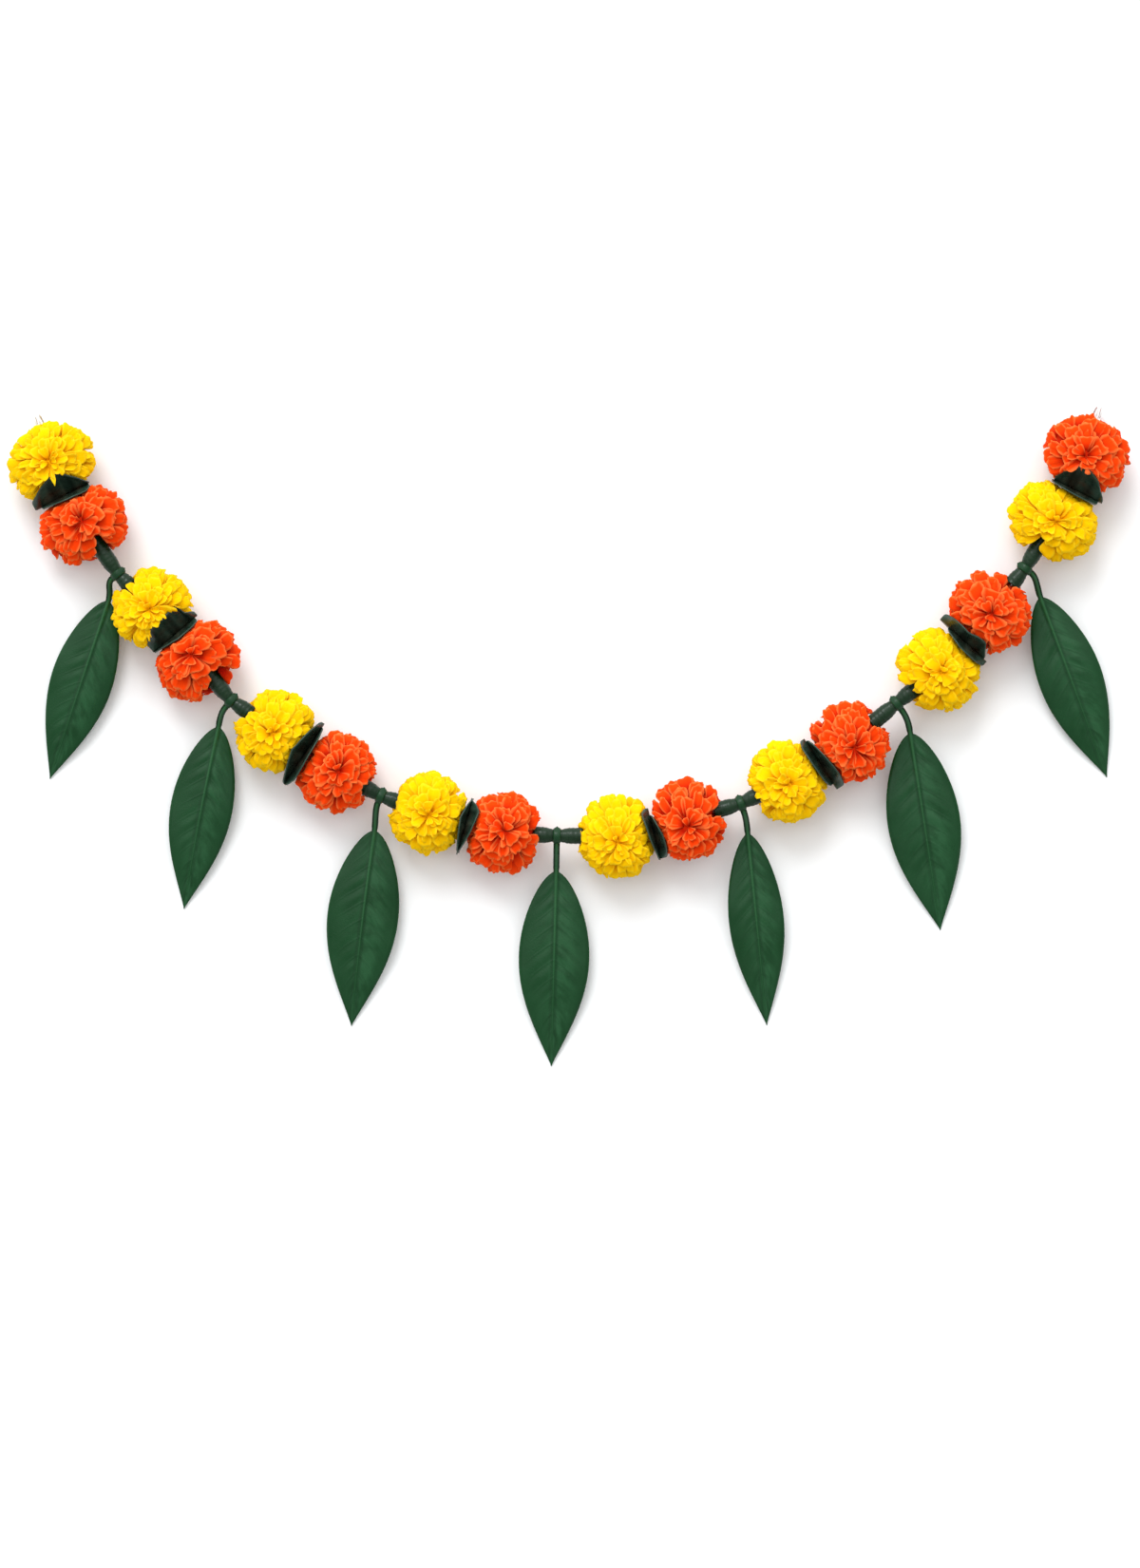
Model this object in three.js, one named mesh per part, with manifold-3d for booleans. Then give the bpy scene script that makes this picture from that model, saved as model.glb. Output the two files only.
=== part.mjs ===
// A door garland of marigold pompons and mango leaves, strung on one thread and laid flat in a shallow U.
// Millimetres, +Z up. The surface it lies on is z = 0, and the origin is the middle of its footprint.
// Sixteen blooms stand in eight pairs, back to back, with a green sepal collar on the back of each.
// Between the pairs runs a bound sleeve with a narrow waist, and a leaf hangs from the waist by its stalk.

import * as THREE from 'three';
import { mergeVertices } from 'three/addons/utils/BufferGeometryUtils.js';
import Module from 'manifold-3d';

const wasm = await Module();
wasm.setup();

// ---------------------------------------------------------------- driving dimensions (mm)

const FIT_GAP = 0.35; // clearance between touching pieces

const THREAD_HEIGHT = 27; // axis of the thread above the surface
const THREAD_RADIUS = 1.0;
const THREAD_SIDES = 6;
const BORE_RADIUS = 1.7; // the hole that the thread runs in
const KNOT_RADIUS = 2.6;

const BLOOM_ALONG = 27.8; // centre to petal tips, along the thread
const BLOOM_RISE = 25.5; // centre to petal tips, up and down
const BLOOM_CENTRE_HEIGHT = 25.2;
const FOOT_RADIUS = 9.5; // flat spot a bloom rests on
const FOOT_SIDES = 8;

const COLLAR_RADIUS = 20.5; // thread to the lobe tips above and below it
const COLLAR_NOTCH = 0.86; // reach of the notches between lobes, as a share of the lobes' reach
const COLLAR_LOBES = 6;
const COLLAR_THICKNESS = 0.9;
const COLLAR_LEAN_BELOW = 5.5; // how far the lobes below the thread lean over their own bloom
const COLLAR_BACK = 0.25; // collar back to the middle of the pair
const COLLAR_JITTER = 0.05; // how much the reach and lean of the lobes fall short, as a share
const COLLAR_SEED = 71;
const COLLAR_HOLE_RADIUS = 1.8;
const COLLAR_HOLE_SIDES = 6;

const SLEEVE_END_RADIUS = 5.5;
const SLEEVE_WAIST_RADIUS = 4.0;
const SLEEVE_TAPER = 10; // waist to full width
const SLEEVE_SIDES = 8;
const SLEEVE_TUCK = 2.5; // how far a sleeve runs on under the petals that part over it

const STALK_WIDTH = 4.4;
const STALK_THICKNESS = 1.4;
const STALK_START_PULL = 5; // how far the stalk keeps straight as it leaves the waist
const STALK_END_PULL = 8; // how far before the blade it is in line with it
const STALK_END_RISE = 2.5; // and how much higher it is there
const HOOP_INNER_RADIUS = 5.4; // the stalk's hoop round the waist
const HOOP_OUTER_RADIUS = 6.7;
const HOOP_WIDTH = 5.2;
const BLADE_THICKNESS = 0.9;
const BLADE_ARCH = 5; // how far the middle of a blade stands above the line from base to tip
const BLADE_DROOP = 2.6; // how far the edges hang below the midrib at the widest place
const BLADE_FOLD = 1.6; // 1 is a sharp fold along the midrib, more is rounder
const BLADE_TIP_WIDTH = 1;
const BLADE_TIP_CLEARANCE = 0.05; // under the tip
const BLADE_BASE_HEIGHT = 15;

const LOOP_DIAMETER = 1.3;
const LOOP_SIDES = 8;
const LOOP_STEPS = 25;
// One strand of an end loop: reach from the end bloom's centre, distance to its twin strand, and height.
// The last point is the middle of the loop, and the twin strand runs back through the same places.
const LOOP_STRAND = [
  [28.2, 2.6, 27.0],
  [30.6, 2.8, 27.0],
  [33.0, 3.0, 25.6],
  [34.8, 3.2, 22.0],
  [35.2, 3.4, 16.5],
  [34.8, 3.6, 10.8],
  [33.4, 4.0, 5.4],
  [30.4, 4.6, 1.9],
  [26.4, 5.4, 0.8],
  [22.0, 6.2, 0.7],
  [18.2, 5.6, 0.7],
  [15.6, 0.0, 0.7],
];

// Centre of each bloom (x, y), its radius square to the thread, then where its petal centre lies from (x, y).
const BLOOMS = [
  [-363.3, 195.2, 31.0, 0.0, -0.7],
  [-340.5, 151.6, 32.2, -0.6, 1.7],
  [-292.9, 93.2, 29.0, -1.0, -1.7],
  [-261.0, 55.8, 31.0, -3.5, 4.3],
  [-206.3, 7.2, 29.5, -0.8, -1.7],
  [-163.1, -21.7, 29.3, 1.4, 0.0],
  [-98.9, -50.2, 28.7, 0.7, -2.0],
  [-46.3, -64.5, 29.1, 0.5, 1.6],
  [33.7, -66.8, 29.5, -0.3, -4.1],
  [83.3, -54.6, 28.7, -0.1, -5.8],
  [153.1, -28.2, 29.2, 0.3, -2.9],
  [196.8, -0.4, 28.9, 1.7, -5.1],
  [258.4, 49.8, 30.4, 1.7, -2.5],
  [294.9, 90.5, 30.2, 0.2, -2.0],
  [339.7, 154.5, 31.8, 0.3, -1.7],
  [362.9, 200.8, 31.2, -2.1, -2.1],
];

// For each pair of collars: how far the lobes above the thread lean over the first and over the second bloom,
// then how far the side lobes reach to the right and to the left, looking from the first to the second.
const COLLAR_PAIRS = [
  [17.9, 4.5, 25.4, 17.1],
  [14.4, 4.6, 19.0, 20.9],
  [8.5, 4.8, 28.0, 23.2],
  [4.6, 7.4, 23.3, 17.8],
  [5.7, 6.7, 23.5, 13.7],
  [5.4, 8.3, 23.3, 18.6],
  [6.3, 7.2, 21.4, 22.4],
  [4.2, 18.6, 24.9, 13.9],
];

// Where the thread leaves the first and the last bloom (x, y).
const THREAD_EXITS = [
  [-372.3, 221.6],
  [370.7, 227.0],
];

// Waist of each sleeve (x, y), then how far from the bloom before and after it the petals part over it.
const SLEEVES = [
  [-316.9, 117.2, 14, 22],
  [-237.3, 28.3, 14, 23],
  [-132.3, -38.5, 22, 25],
  [-8.8, -66.5, 24, 27],
  [120.2, -43.8, 21.5, 23],
  [229.4, 26.3, 22, 20],
  [319.5, 121.0, 27, 18],
];

// Base of each leaf blade (x, y), its tip (x, y), its width, and the sideways bow of its midrib.
const LEAVES = [
  [-324.3, 98.5, -366.5, -26.6, 43.6, 0],
  [-246.9, 9.8, -271.9, -118.3, 43.7, -1],
  [-137.1, -62.8, -153.8, -200.8, 50.0, -1],
  [-9.3, -91.5, -12.8, -229.2, 49.7, 0],
  [125.4, -65.2, 139.2, -200.3, 38.8, 0],
  [239.7, 5.5, 261.6, -133.2, 51.2, 0],
  [331.3, 101.0, 379.1, -25.4, 45.0, 0],
];

// Petal layers of a bloom from the top down: polar angle of the tips in degrees, and petals in the layer.
const PETAL_LAYERS = [
  [20, 5],
  [44, 8],
  [67, 10],
  [90, 11],
  [113, 9],
  [136, 7],
];
const PETAL_SHOULDERS = [0.24, 0.76]; // where a petal's blunt tip starts and ends, as a share of its width
const PETAL_NOTCH = 0.87; // notch between petals, as a share of the tip radius
const PETAL_ROOT = 0.8; // where the next layer starts under the tips
const PETAL_OVERHANG = 3; // degrees the tips stand past their roots
const PETAL_JITTER = 0.025; // how much the reach of the petals varies, as a share
const PETAL_NOD = 2.5; // how much their tips rise or drop, in degrees
const PETAL_SEED = 3;

// ---------------------------------------------------------------- materials

const finish = (color, roughness) => new THREE.MeshStandardMaterial({ color, roughness, metalness: 0 });
const YELLOW_CLOTH = finish(0xfdd60a, 0.8);
const ORANGE_CLOTH = finish(0xff5a1e, 0.8);
const LEAF_PLASTIC = finish(0x245232, 0.42);
const SLEEVE_TAPE = finish(0x1d3b2a, 0.5);
const COLLAR_PLASTIC = finish(0x26392b, 0.5);
const THREAD_COTTON = finish(0xb9b7ae, 0.85);

// ---------------------------------------------------------------- solids

function toSolid(geometry) {
  geometry.deleteAttribute('normal');
  geometry.deleteAttribute('uv');
  const merged = mergeVertices(geometry, 1e-4);
  return new wasm.Manifold(new wasm.Mesh({
    numProp: 3,
    vertProperties: Float32Array.from(merged.attributes.position.array),
    triVerts: Uint32Array.from(merged.index.array),
  }));
}

function toMesh(solid, name, material) {
  const { vertProperties, triVerts } = solid.getMesh();
  const geometry = new THREE.BufferGeometry();
  geometry.setAttribute('position', new THREE.BufferAttribute(vertProperties, 3));
  geometry.setIndex(new THREE.BufferAttribute(triVerts, 1));
  geometry.computeVertexNormals();
  const mesh = new THREE.Mesh(geometry, material);
  mesh.name = name;
  return mesh;
}

// Cutting can free a scrap of petal: only the main body is kept.
function largestBody(solid) {
  const bodies = solid.decompose();
  return bodies.reduce((best, body) => (body.volume() > best.volume() ? body : best));
}

// A closed skin made of rings of points, each ring counter-clockwise seen from outside its upper end.
class Skin {
  constructor() {
    this.points = [];
    this.faces = [];
  }

  ring(points, angles) {
    const first = this.points.length;
    this.points.push(...points);
    return { first, angles, count: points.length };
  }

  // Joins two rings whose counts may differ, always taking the side whose next edge comes first.
  bridge(upper, lower) {
    const at = (ring, i) => ring.first + (i % ring.count);
    const turn = (ring, i) => ring.angles[i % ring.count] + 2 * Math.PI * Math.floor(i / ring.count);
    let u = 0;
    let l = 0;
    while (u < upper.count || l < lower.count) {
      const upperEdge = u < upper.count ? turn(upper, u) + turn(upper, u + 1) : Infinity;
      const lowerEdge = l < lower.count ? turn(lower, l) + turn(lower, l + 1) : Infinity;
      if (upperEdge <= lowerEdge) {
        this.faces.push(at(upper, u), at(lower, l), at(upper, u + 1));
        u += 1;
      } else {
        this.faces.push(at(upper, u), at(lower, l), at(lower, l + 1));
        l += 1;
      }
    }
  }

  capTop(ring, apex) {
    const tip = this.points.push(apex) - 1;
    for (let i = 0; i < ring.count; i += 1) {
      this.faces.push(tip, ring.first + i, ring.first + ((i + 1) % ring.count));
    }
  }

  capBottom(ring, apex) {
    const tip = this.points.push(apex) - 1;
    for (let i = 0; i < ring.count; i += 1) {
      this.faces.push(tip, ring.first + ((i + 1) % ring.count), ring.first + i);
    }
  }

  geometry() {
    const geometry = new THREE.BufferGeometry();
    const flat = this.points.flatMap((point) => point.toArray());
    geometry.setAttribute('position', new THREE.Float32BufferAttribute(flat, 3));
    geometry.setIndex(this.faces);
    return geometry;
  }
}

// The same draws every run, from a small integer seed.
function seededDraw(seed) {
  let state = seed * 2654435761 % 4294967296;
  return () => {
    state = (state * 1664525 + 1013904223) % 4294967296;
    return state / 4294967296;
  };
}

// Turns a solid modelled round +Z so that +Z points along a direction, and moves it to a place.
function place(geometry, at, direction) {
  const up = new THREE.Vector3(0, 0, 1);
  geometry.applyQuaternion(new THREE.Quaternion().setFromUnitVectors(up, direction));
  geometry.translate(at.x, at.y, at.z);
  return geometry;
}

// Turns a solid whose upper side is +Y so that its +Z points along a level axis, and moves it to a place.
function placeUpright(geometry, at, axis) {
  const up = new THREE.Vector3(0, 0, 1);
  const side = up.clone().cross(axis);
  return geometry.applyMatrix4(new THREE.Matrix4().makeBasis(side, up, axis).setPosition(at));
}

const lathe = (profile, segments) => (
  new THREE.LatheGeometry(profile.map(([r, s]) => new THREE.Vector2(r, s)), segments).rotateX(Math.PI / 2)
);

const onThread = (x, y) => new THREE.Vector3(x, y, THREAD_HEIGHT);
const bloomAt = (i) => onThread(BLOOMS[i][0], BLOOMS[i][1]);
const waistAt = (k) => onThread(SLEEVES[k][0], SLEEVES[k][1]);
const direction = (from, to) => to.clone().sub(from).normalize();

// ---------------------------------------------------------------- thread, knots and end loops

const END_BLOOMS = [0, BLOOMS.length - 1];
const outward = END_BLOOMS.map((i, end) => direction(bloomAt(i), onThread(...THREAD_EXITS[end])));
const knotAt = END_BLOOMS.map((i, end) => (
  bloomAt(i).addScaledVector(outward[end], BLOOM_ALONG - KNOT_RADIUS)
));

// A thread lying straight between the points it passes, all of them at one height.
function threadRun(points, radius) {
  const skin = new Skin();
  const rings = points.map((point, i) => {
    const last = points.length - 1;
    const back = direction(points[Math.max(i - 1, 0)], points[Math.max(i, 1)]);
    const onward = direction(points[Math.min(i, last - 1)], points[Math.min(i + 1, last)]);
    const line = back.add(onward).normalize();
    const side = new THREE.Vector3(-line.y, line.x, 0);
    const loop = [];
    const angles = [];
    for (let k = 0; k < THREAD_SIDES; k += 1) {
      const turn = (2 * Math.PI * k) / THREAD_SIDES;
      loop.push(point.clone().addScaledVector(side, radius * Math.cos(turn))
        .add(new THREE.Vector3(0, 0, radius * Math.sin(turn))));
      angles.push(turn);
    }
    return skin.ring(loop, angles);
  });
  rings.slice(1).forEach((ring, i) => skin.bridge(ring, rings[i]));
  skin.capTop(rings[rings.length - 1], points[points.length - 1].clone());
  skin.capBottom(rings[0], points[0].clone());
  return toSolid(skin.geometry());
}

const threadEnds = [0, 1].map((end) => (
  knotAt[end].clone().addScaledVector(outward[end], -KNOT_RADIUS - FIT_GAP)
));
const threadStops = [threadEnds[0]];
BLOOMS.forEach((_, i) => {
  threadStops.push(bloomAt(i));
  if (i % 2 === 1 && i < BLOOMS.length - 1) threadStops.push(waistAt((i - 1) / 2));
});
threadStops.push(threadEnds[1]);
const threadSolid = threadRun(threadStops, THREAD_RADIUS);

const knotSolid = (at, margin) => {
  const ball = new THREE.OctahedronGeometry(KNOT_RADIUS + margin, 1);
  return toSolid(ball.translate(at.x, at.y, at.z));
};

// The doubled thread beyond a knot droops over the bloom's edge and lies back under it on the surface.
function loopSolid(end) {
  const bloom = bloomAt(END_BLOOMS[end]);
  const aside = new THREE.Vector3(-outward[end].y, outward[end].x, 0);
  const strand = (side) => LOOP_STRAND.map(([reach, apart, height]) => (
    bloom.clone().addScaledVector(outward[end], reach).addScaledVector(aside, (side * apart) / 2).setZ(height)
  ));
  const stops = [...strand(1), ...strand(-1).reverse().slice(1)];
  const route = new THREE.CatmullRomCurve3(stops, false, 'centripetal');
  const section = new THREE.Shape();
  section.absarc(0, 0, LOOP_DIAMETER / 2, 0, 2 * Math.PI, false);
  const tube = new THREE.ExtrudeGeometry(section, {
    steps: LOOP_STEPS,
    extrudePath: route,
    curveSegments: LOOP_SIDES / 2,
  });
  return toSolid(tube);
}

// ---------------------------------------------------------------- blooms

// A pompon of petal layers: each layer widens to its tips and steps back in under them.
function petalBall(index, threadDirection) {
  const [, , acrossRadius, faceX, faceY] = BLOOMS[index];
  const centre = bloomAt(index).setZ(BLOOM_CENTRE_HEIGHT);
  const draw = seededDraw(index + PETAL_SEED);
  const heading = Math.atan2(threadDirection.y, threadDirection.x);
  const skin = new Skin();

  const surface = (polar, turn, share) => {
    const lift = Math.cos(polar);
    const along = BLOOM_ALONG * share * Math.sin(polar) * Math.cos(turn);
    const across = acrossRadius * share * Math.sin(polar) * Math.sin(turn);
    const shift = Math.max(lift, 0);
    return new THREE.Vector3(
      centre.x + along * Math.cos(heading) - across * Math.sin(heading) + faceX * shift,
      centre.y + along * Math.sin(heading) + across * Math.cos(heading) + faceY * shift,
      centre.z + BLOOM_RISE * share * lift,
    );
  };
  const jitter = () => 1 + PETAL_JITTER * (2 * draw() - 1);

  const layers = PETAL_LAYERS.map(([degrees, petals]) => {
    const width = (2 * Math.PI) / petals;
    return { polar: THREE.MathUtils.degToRad(degrees), petals, width, start: width * (draw() - 0.5) };
  });
  let above = null;
  layers.forEach(({ polar, petals, width, start }, i) => {
    const tips = [];
    const tipAngles = [];
    for (let k = 0; k < petals; k += 1) {
      const notchTurn = start + width * k;
      const reach = jitter();
      const nod = THREE.MathUtils.degToRad(PETAL_NOD * (2 * draw() - 1));
      tips.push(surface(polar, notchTurn, PETAL_NOTCH));
      tipAngles.push(notchTurn);
      PETAL_SHOULDERS.forEach((shareOfWidth) => {
        const turn = notchTurn + width * shareOfWidth;
        tips.push(surface(polar + nod, turn, reach));
        tipAngles.push(turn);
      });
    }
    const tipRing = skin.ring(tips, tipAngles);
    if (above) skin.bridge(above, tipRing);
    else skin.capTop(tipRing, surface(0, 0, PETAL_NOTCH));
    const below = layers[Math.min(i + 1, layers.length - 1)];
    const roots = [];
    const rootAngles = [];
    for (let k = 0; k < below.petals; k += 1) {
      const turn = below.start + below.width * k;
      roots.push(surface(polar - THREE.MathUtils.degToRad(PETAL_OVERHANG), turn, PETAL_ROOT));
      rootAngles.push(turn);
    }
    const rootRing = skin.ring(roots, rootAngles);
    skin.bridge(tipRing, rootRing);
    above = rootRing;
  });

  const foot = [];
  const footAngles = [];
  for (let k = 0; k < FOOT_SIDES; k += 1) {
    const turn = (2 * Math.PI * k) / FOOT_SIDES;
    const spoke = heading + turn;
    foot.push(new THREE.Vector3(
      centre.x + FOOT_RADIUS * Math.cos(spoke),
      centre.y + FOOT_RADIUS * Math.sin(spoke),
      0,
    ));
    footAngles.push(turn);
  }
  const footRing = skin.ring(foot, footAngles);
  skin.bridge(above, footRing);
  skin.capBottom(footRing, centre.clone().setZ(0));
  return toSolid(skin.geometry());
}

// The shape of the collar on a bloom: its lean per mm above and below the thread, and its reach to each side,
// on local +X first, for a collar placed upright with +Z towards its own bloom.
function collarForm(index) {
  const isFirst = index % 2 === 0;
  const [leanFirst, leanSecond, reachRight, reachLeft] = COLLAR_PAIRS[Math.floor(index / 2)];
  return {
    slopeAbove: (isFirst ? leanFirst : leanSecond) / COLLAR_RADIUS,
    slopeBelow: COLLAR_LEAN_BELOW / COLLAR_RADIUS,
    sideReach: isFirst ? [reachRight, reachLeft] : [reachLeft, reachRight],
  };
}

// Everything behind the collar, with its clearance, is cut from the back of a bloom.
function collarSpace(index, pairMiddle, towardPartner) {
  const { slopeAbove, slopeBelow } = collarForm(index);
  const gap = FIT_GAP * Math.hypot(1, slopeAbove);
  const hub = COLLAR_BACK + COLLAR_THICKNESS + gap;
  const far = 2 * COLLAR_RADIUS;
  const section = new THREE.Shape([
    new THREE.Vector2(hub, 0),
    new THREE.Vector2(hub + slopeAbove * far, far),
    new THREE.Vector2(-BLOOM_ALONG, far),
    new THREE.Vector2(-BLOOM_ALONG, -far),
    new THREE.Vector2(hub + slopeBelow * far, -far),
  ]);
  const wedge = new THREE.ExtrudeGeometry(section, { depth: 2 * far, bevelEnabled: false });
  wedge.translate(0, 0, -far).rotateY(-Math.PI / 2);
  return toSolid(placeUpright(wedge, pairMiddle, towardPartner.clone().negate()));
}

// Room for a sleeve: a trough round its lower half, open upwards where the petals part over it.
function sleeveSpace(bloom, waist, partFrom) {
  const line = direction(bloom, waist);
  const wall = SLEEVE_END_RADIUS + FIT_GAP;
  const bevel = wall * Math.tan(Math.PI / SLEEVE_SIDES);
  const high = 2 * BLOOM_RISE;
  const trough = new THREE.Shape([
    new THREE.Vector2(-wall, high),
    new THREE.Vector2(-wall, -bevel),
    new THREE.Vector2(-bevel, -wall),
    new THREE.Vector2(bevel, -wall),
    new THREE.Vector2(wall, -bevel),
    new THREE.Vector2(wall, high),
  ]);
  const geometry = new THREE.ExtrudeGeometry(trough, { depth: 2 * BLOOM_ALONG, bevelEnabled: false });
  geometry.rotateX(Math.PI / 2).rotateZ(Math.PI / 2 + Math.atan2(line.y, line.x));
  const start = bloom.clone().addScaledVector(line, partFrom - SLEEVE_TUCK - FIT_GAP);
  geometry.translate(start.x, start.y, start.z);
  return toSolid(geometry);
}

function bloomSolid(index) {
  const here = bloomAt(index);
  const partner = bloomAt(index % 2 === 0 ? index + 1 : index - 1);
  const towardPartner = direction(here, partner);
  const middle = here.clone().lerp(partner, 0.5);
  const isFirst = index === 0;
  const isLast = index === BLOOMS.length - 1;
  const k = Math.floor((index - 1) / 2);
  const next = isFirst || isLast ? knotAt[isFirst ? 0 : 1] : waistAt(k);
  const solid = petalBall(index, towardPartner)
    .subtract(collarSpace(index, middle, towardPartner))
    .subtract(threadRun([middle, here, next], BORE_RADIUS));
  const cutter = isFirst || isLast
    ? knotSolid(next, FIT_GAP)
    : sleeveSpace(here, next, SLEEVES[k][index % 2 === 1 ? 2 : 3]);
  return largestBody(solid.subtract(cutter));
}

// ---------------------------------------------------------------- sepal collars

// A thin ring of lobes round the thread. It leans over its own bloom above and below the thread, and is
// upright at its sides, so the two collars of a pair close the gap between their blooms.
function collarSolid(index) {
  const here = bloomAt(index);
  const partner = bloomAt(index % 2 === 0 ? index + 1 : index - 1);
  const draw = seededDraw(index + COLLAR_SEED);
  const skin = new Skin();
  const ringAt = (samples, radiusOf, heightOf) => {
    const points = [];
    const angles = [];
    for (let k = 0; k < samples; k += 1) {
      const turn = (2 * Math.PI * k) / samples;
      points.push(new THREE.Vector3(radiusOf(k) * Math.cos(turn), radiusOf(k) * Math.sin(turn), heightOf(k)));
      angles.push(turn);
    }
    return skin.ring(points, angles);
  };
  const { slopeAbove, slopeBelow, sideReach } = collarForm(index);
  const rim = 2 * COLLAR_LOBES;
  const reach = [];
  const lean = [];
  for (let k = 0; k < rim; k += 1) {
    const turn = (2 * Math.PI * k) / rim;
    const sideShare = Math.cos(turn) ** 2;
    const lobe = COLLAR_RADIUS + (sideReach[Math.cos(turn) > 0 ? 0 : 1] - COLLAR_RADIUS) * sideShare;
    reach.push(lobe * (k % 2 === 0 ? 1 : COLLAR_NOTCH) * (1 - COLLAR_JITTER * draw()));
    const rise = reach[k] * Math.sin(turn);
    lean.push((rise > 0 ? slopeAbove : -slopeBelow) * rise * (1 - COLLAR_JITTER * draw()));
  }
  const front = COLLAR_BACK + COLLAR_THICKNESS;
  const hole = () => COLLAR_HOLE_RADIUS;
  const frontHole = ringAt(COLLAR_HOLE_SIDES, hole, () => front);
  const frontRim = ringAt(rim, (k) => reach[k], (k) => front + lean[k]);
  const backRim = ringAt(rim, (k) => reach[k], (k) => COLLAR_BACK + lean[k]);
  const backHole = ringAt(COLLAR_HOLE_SIDES, hole, () => COLLAR_BACK);
  skin.bridge(frontHole, frontRim);
  skin.bridge(frontRim, backRim);
  skin.bridge(backRim, backHole);
  skin.bridge(backHole, frontHole);
  return toSolid(placeUpright(skin.geometry(), here.clone().lerp(partner, 0.5), direction(partner, here)));
}

// ---------------------------------------------------------------- sleeves

// Two tapered sleeves that meet in a waist, each on the line to its own bloom.
function sleeveSolid(k) {
  const waist = waistAt(k);
  const [, , ...partFrom] = SLEEVES[k];
  const halves = [bloomAt(2 * k + 1), bloomAt(2 * k + 2)].map((bloom, side) => {
    const length = waist.distanceTo(bloom) - partFrom[side] + SLEEVE_TUCK;
    const profile = [
      [0, -1],
      [SLEEVE_WAIST_RADIUS, -1],
      [SLEEVE_END_RADIUS, Math.min(SLEEVE_TAPER, length - 1)],
      [SLEEVE_END_RADIUS, length],
      [0, length],
    ];
    return toSolid(place(lathe(profile, SLEEVE_SIDES), waist, direction(waist, bloom)));
  });
  const bore = threadRun([bloomAt(2 * k + 1), waist, bloomAt(2 * k + 2)], BORE_RADIUS);
  return halves[0].add(halves[1]).subtract(bore);
}

// ---------------------------------------------------------------- leaves

const BLADE_STATIONS = [0, 0.1, 0.25, 0.42, 0.6, 0.78, 0.92, 1];
const BLADE_COLUMNS = [-1, -0.5, 0, 0.5, 1];

// Half width of a blade at a share of its length, as a share of its full half width.
const bladeFullness = (t) => Math.sin(Math.PI * t ** 0.85) ** (0.72 + 0.33 * t);

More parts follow.
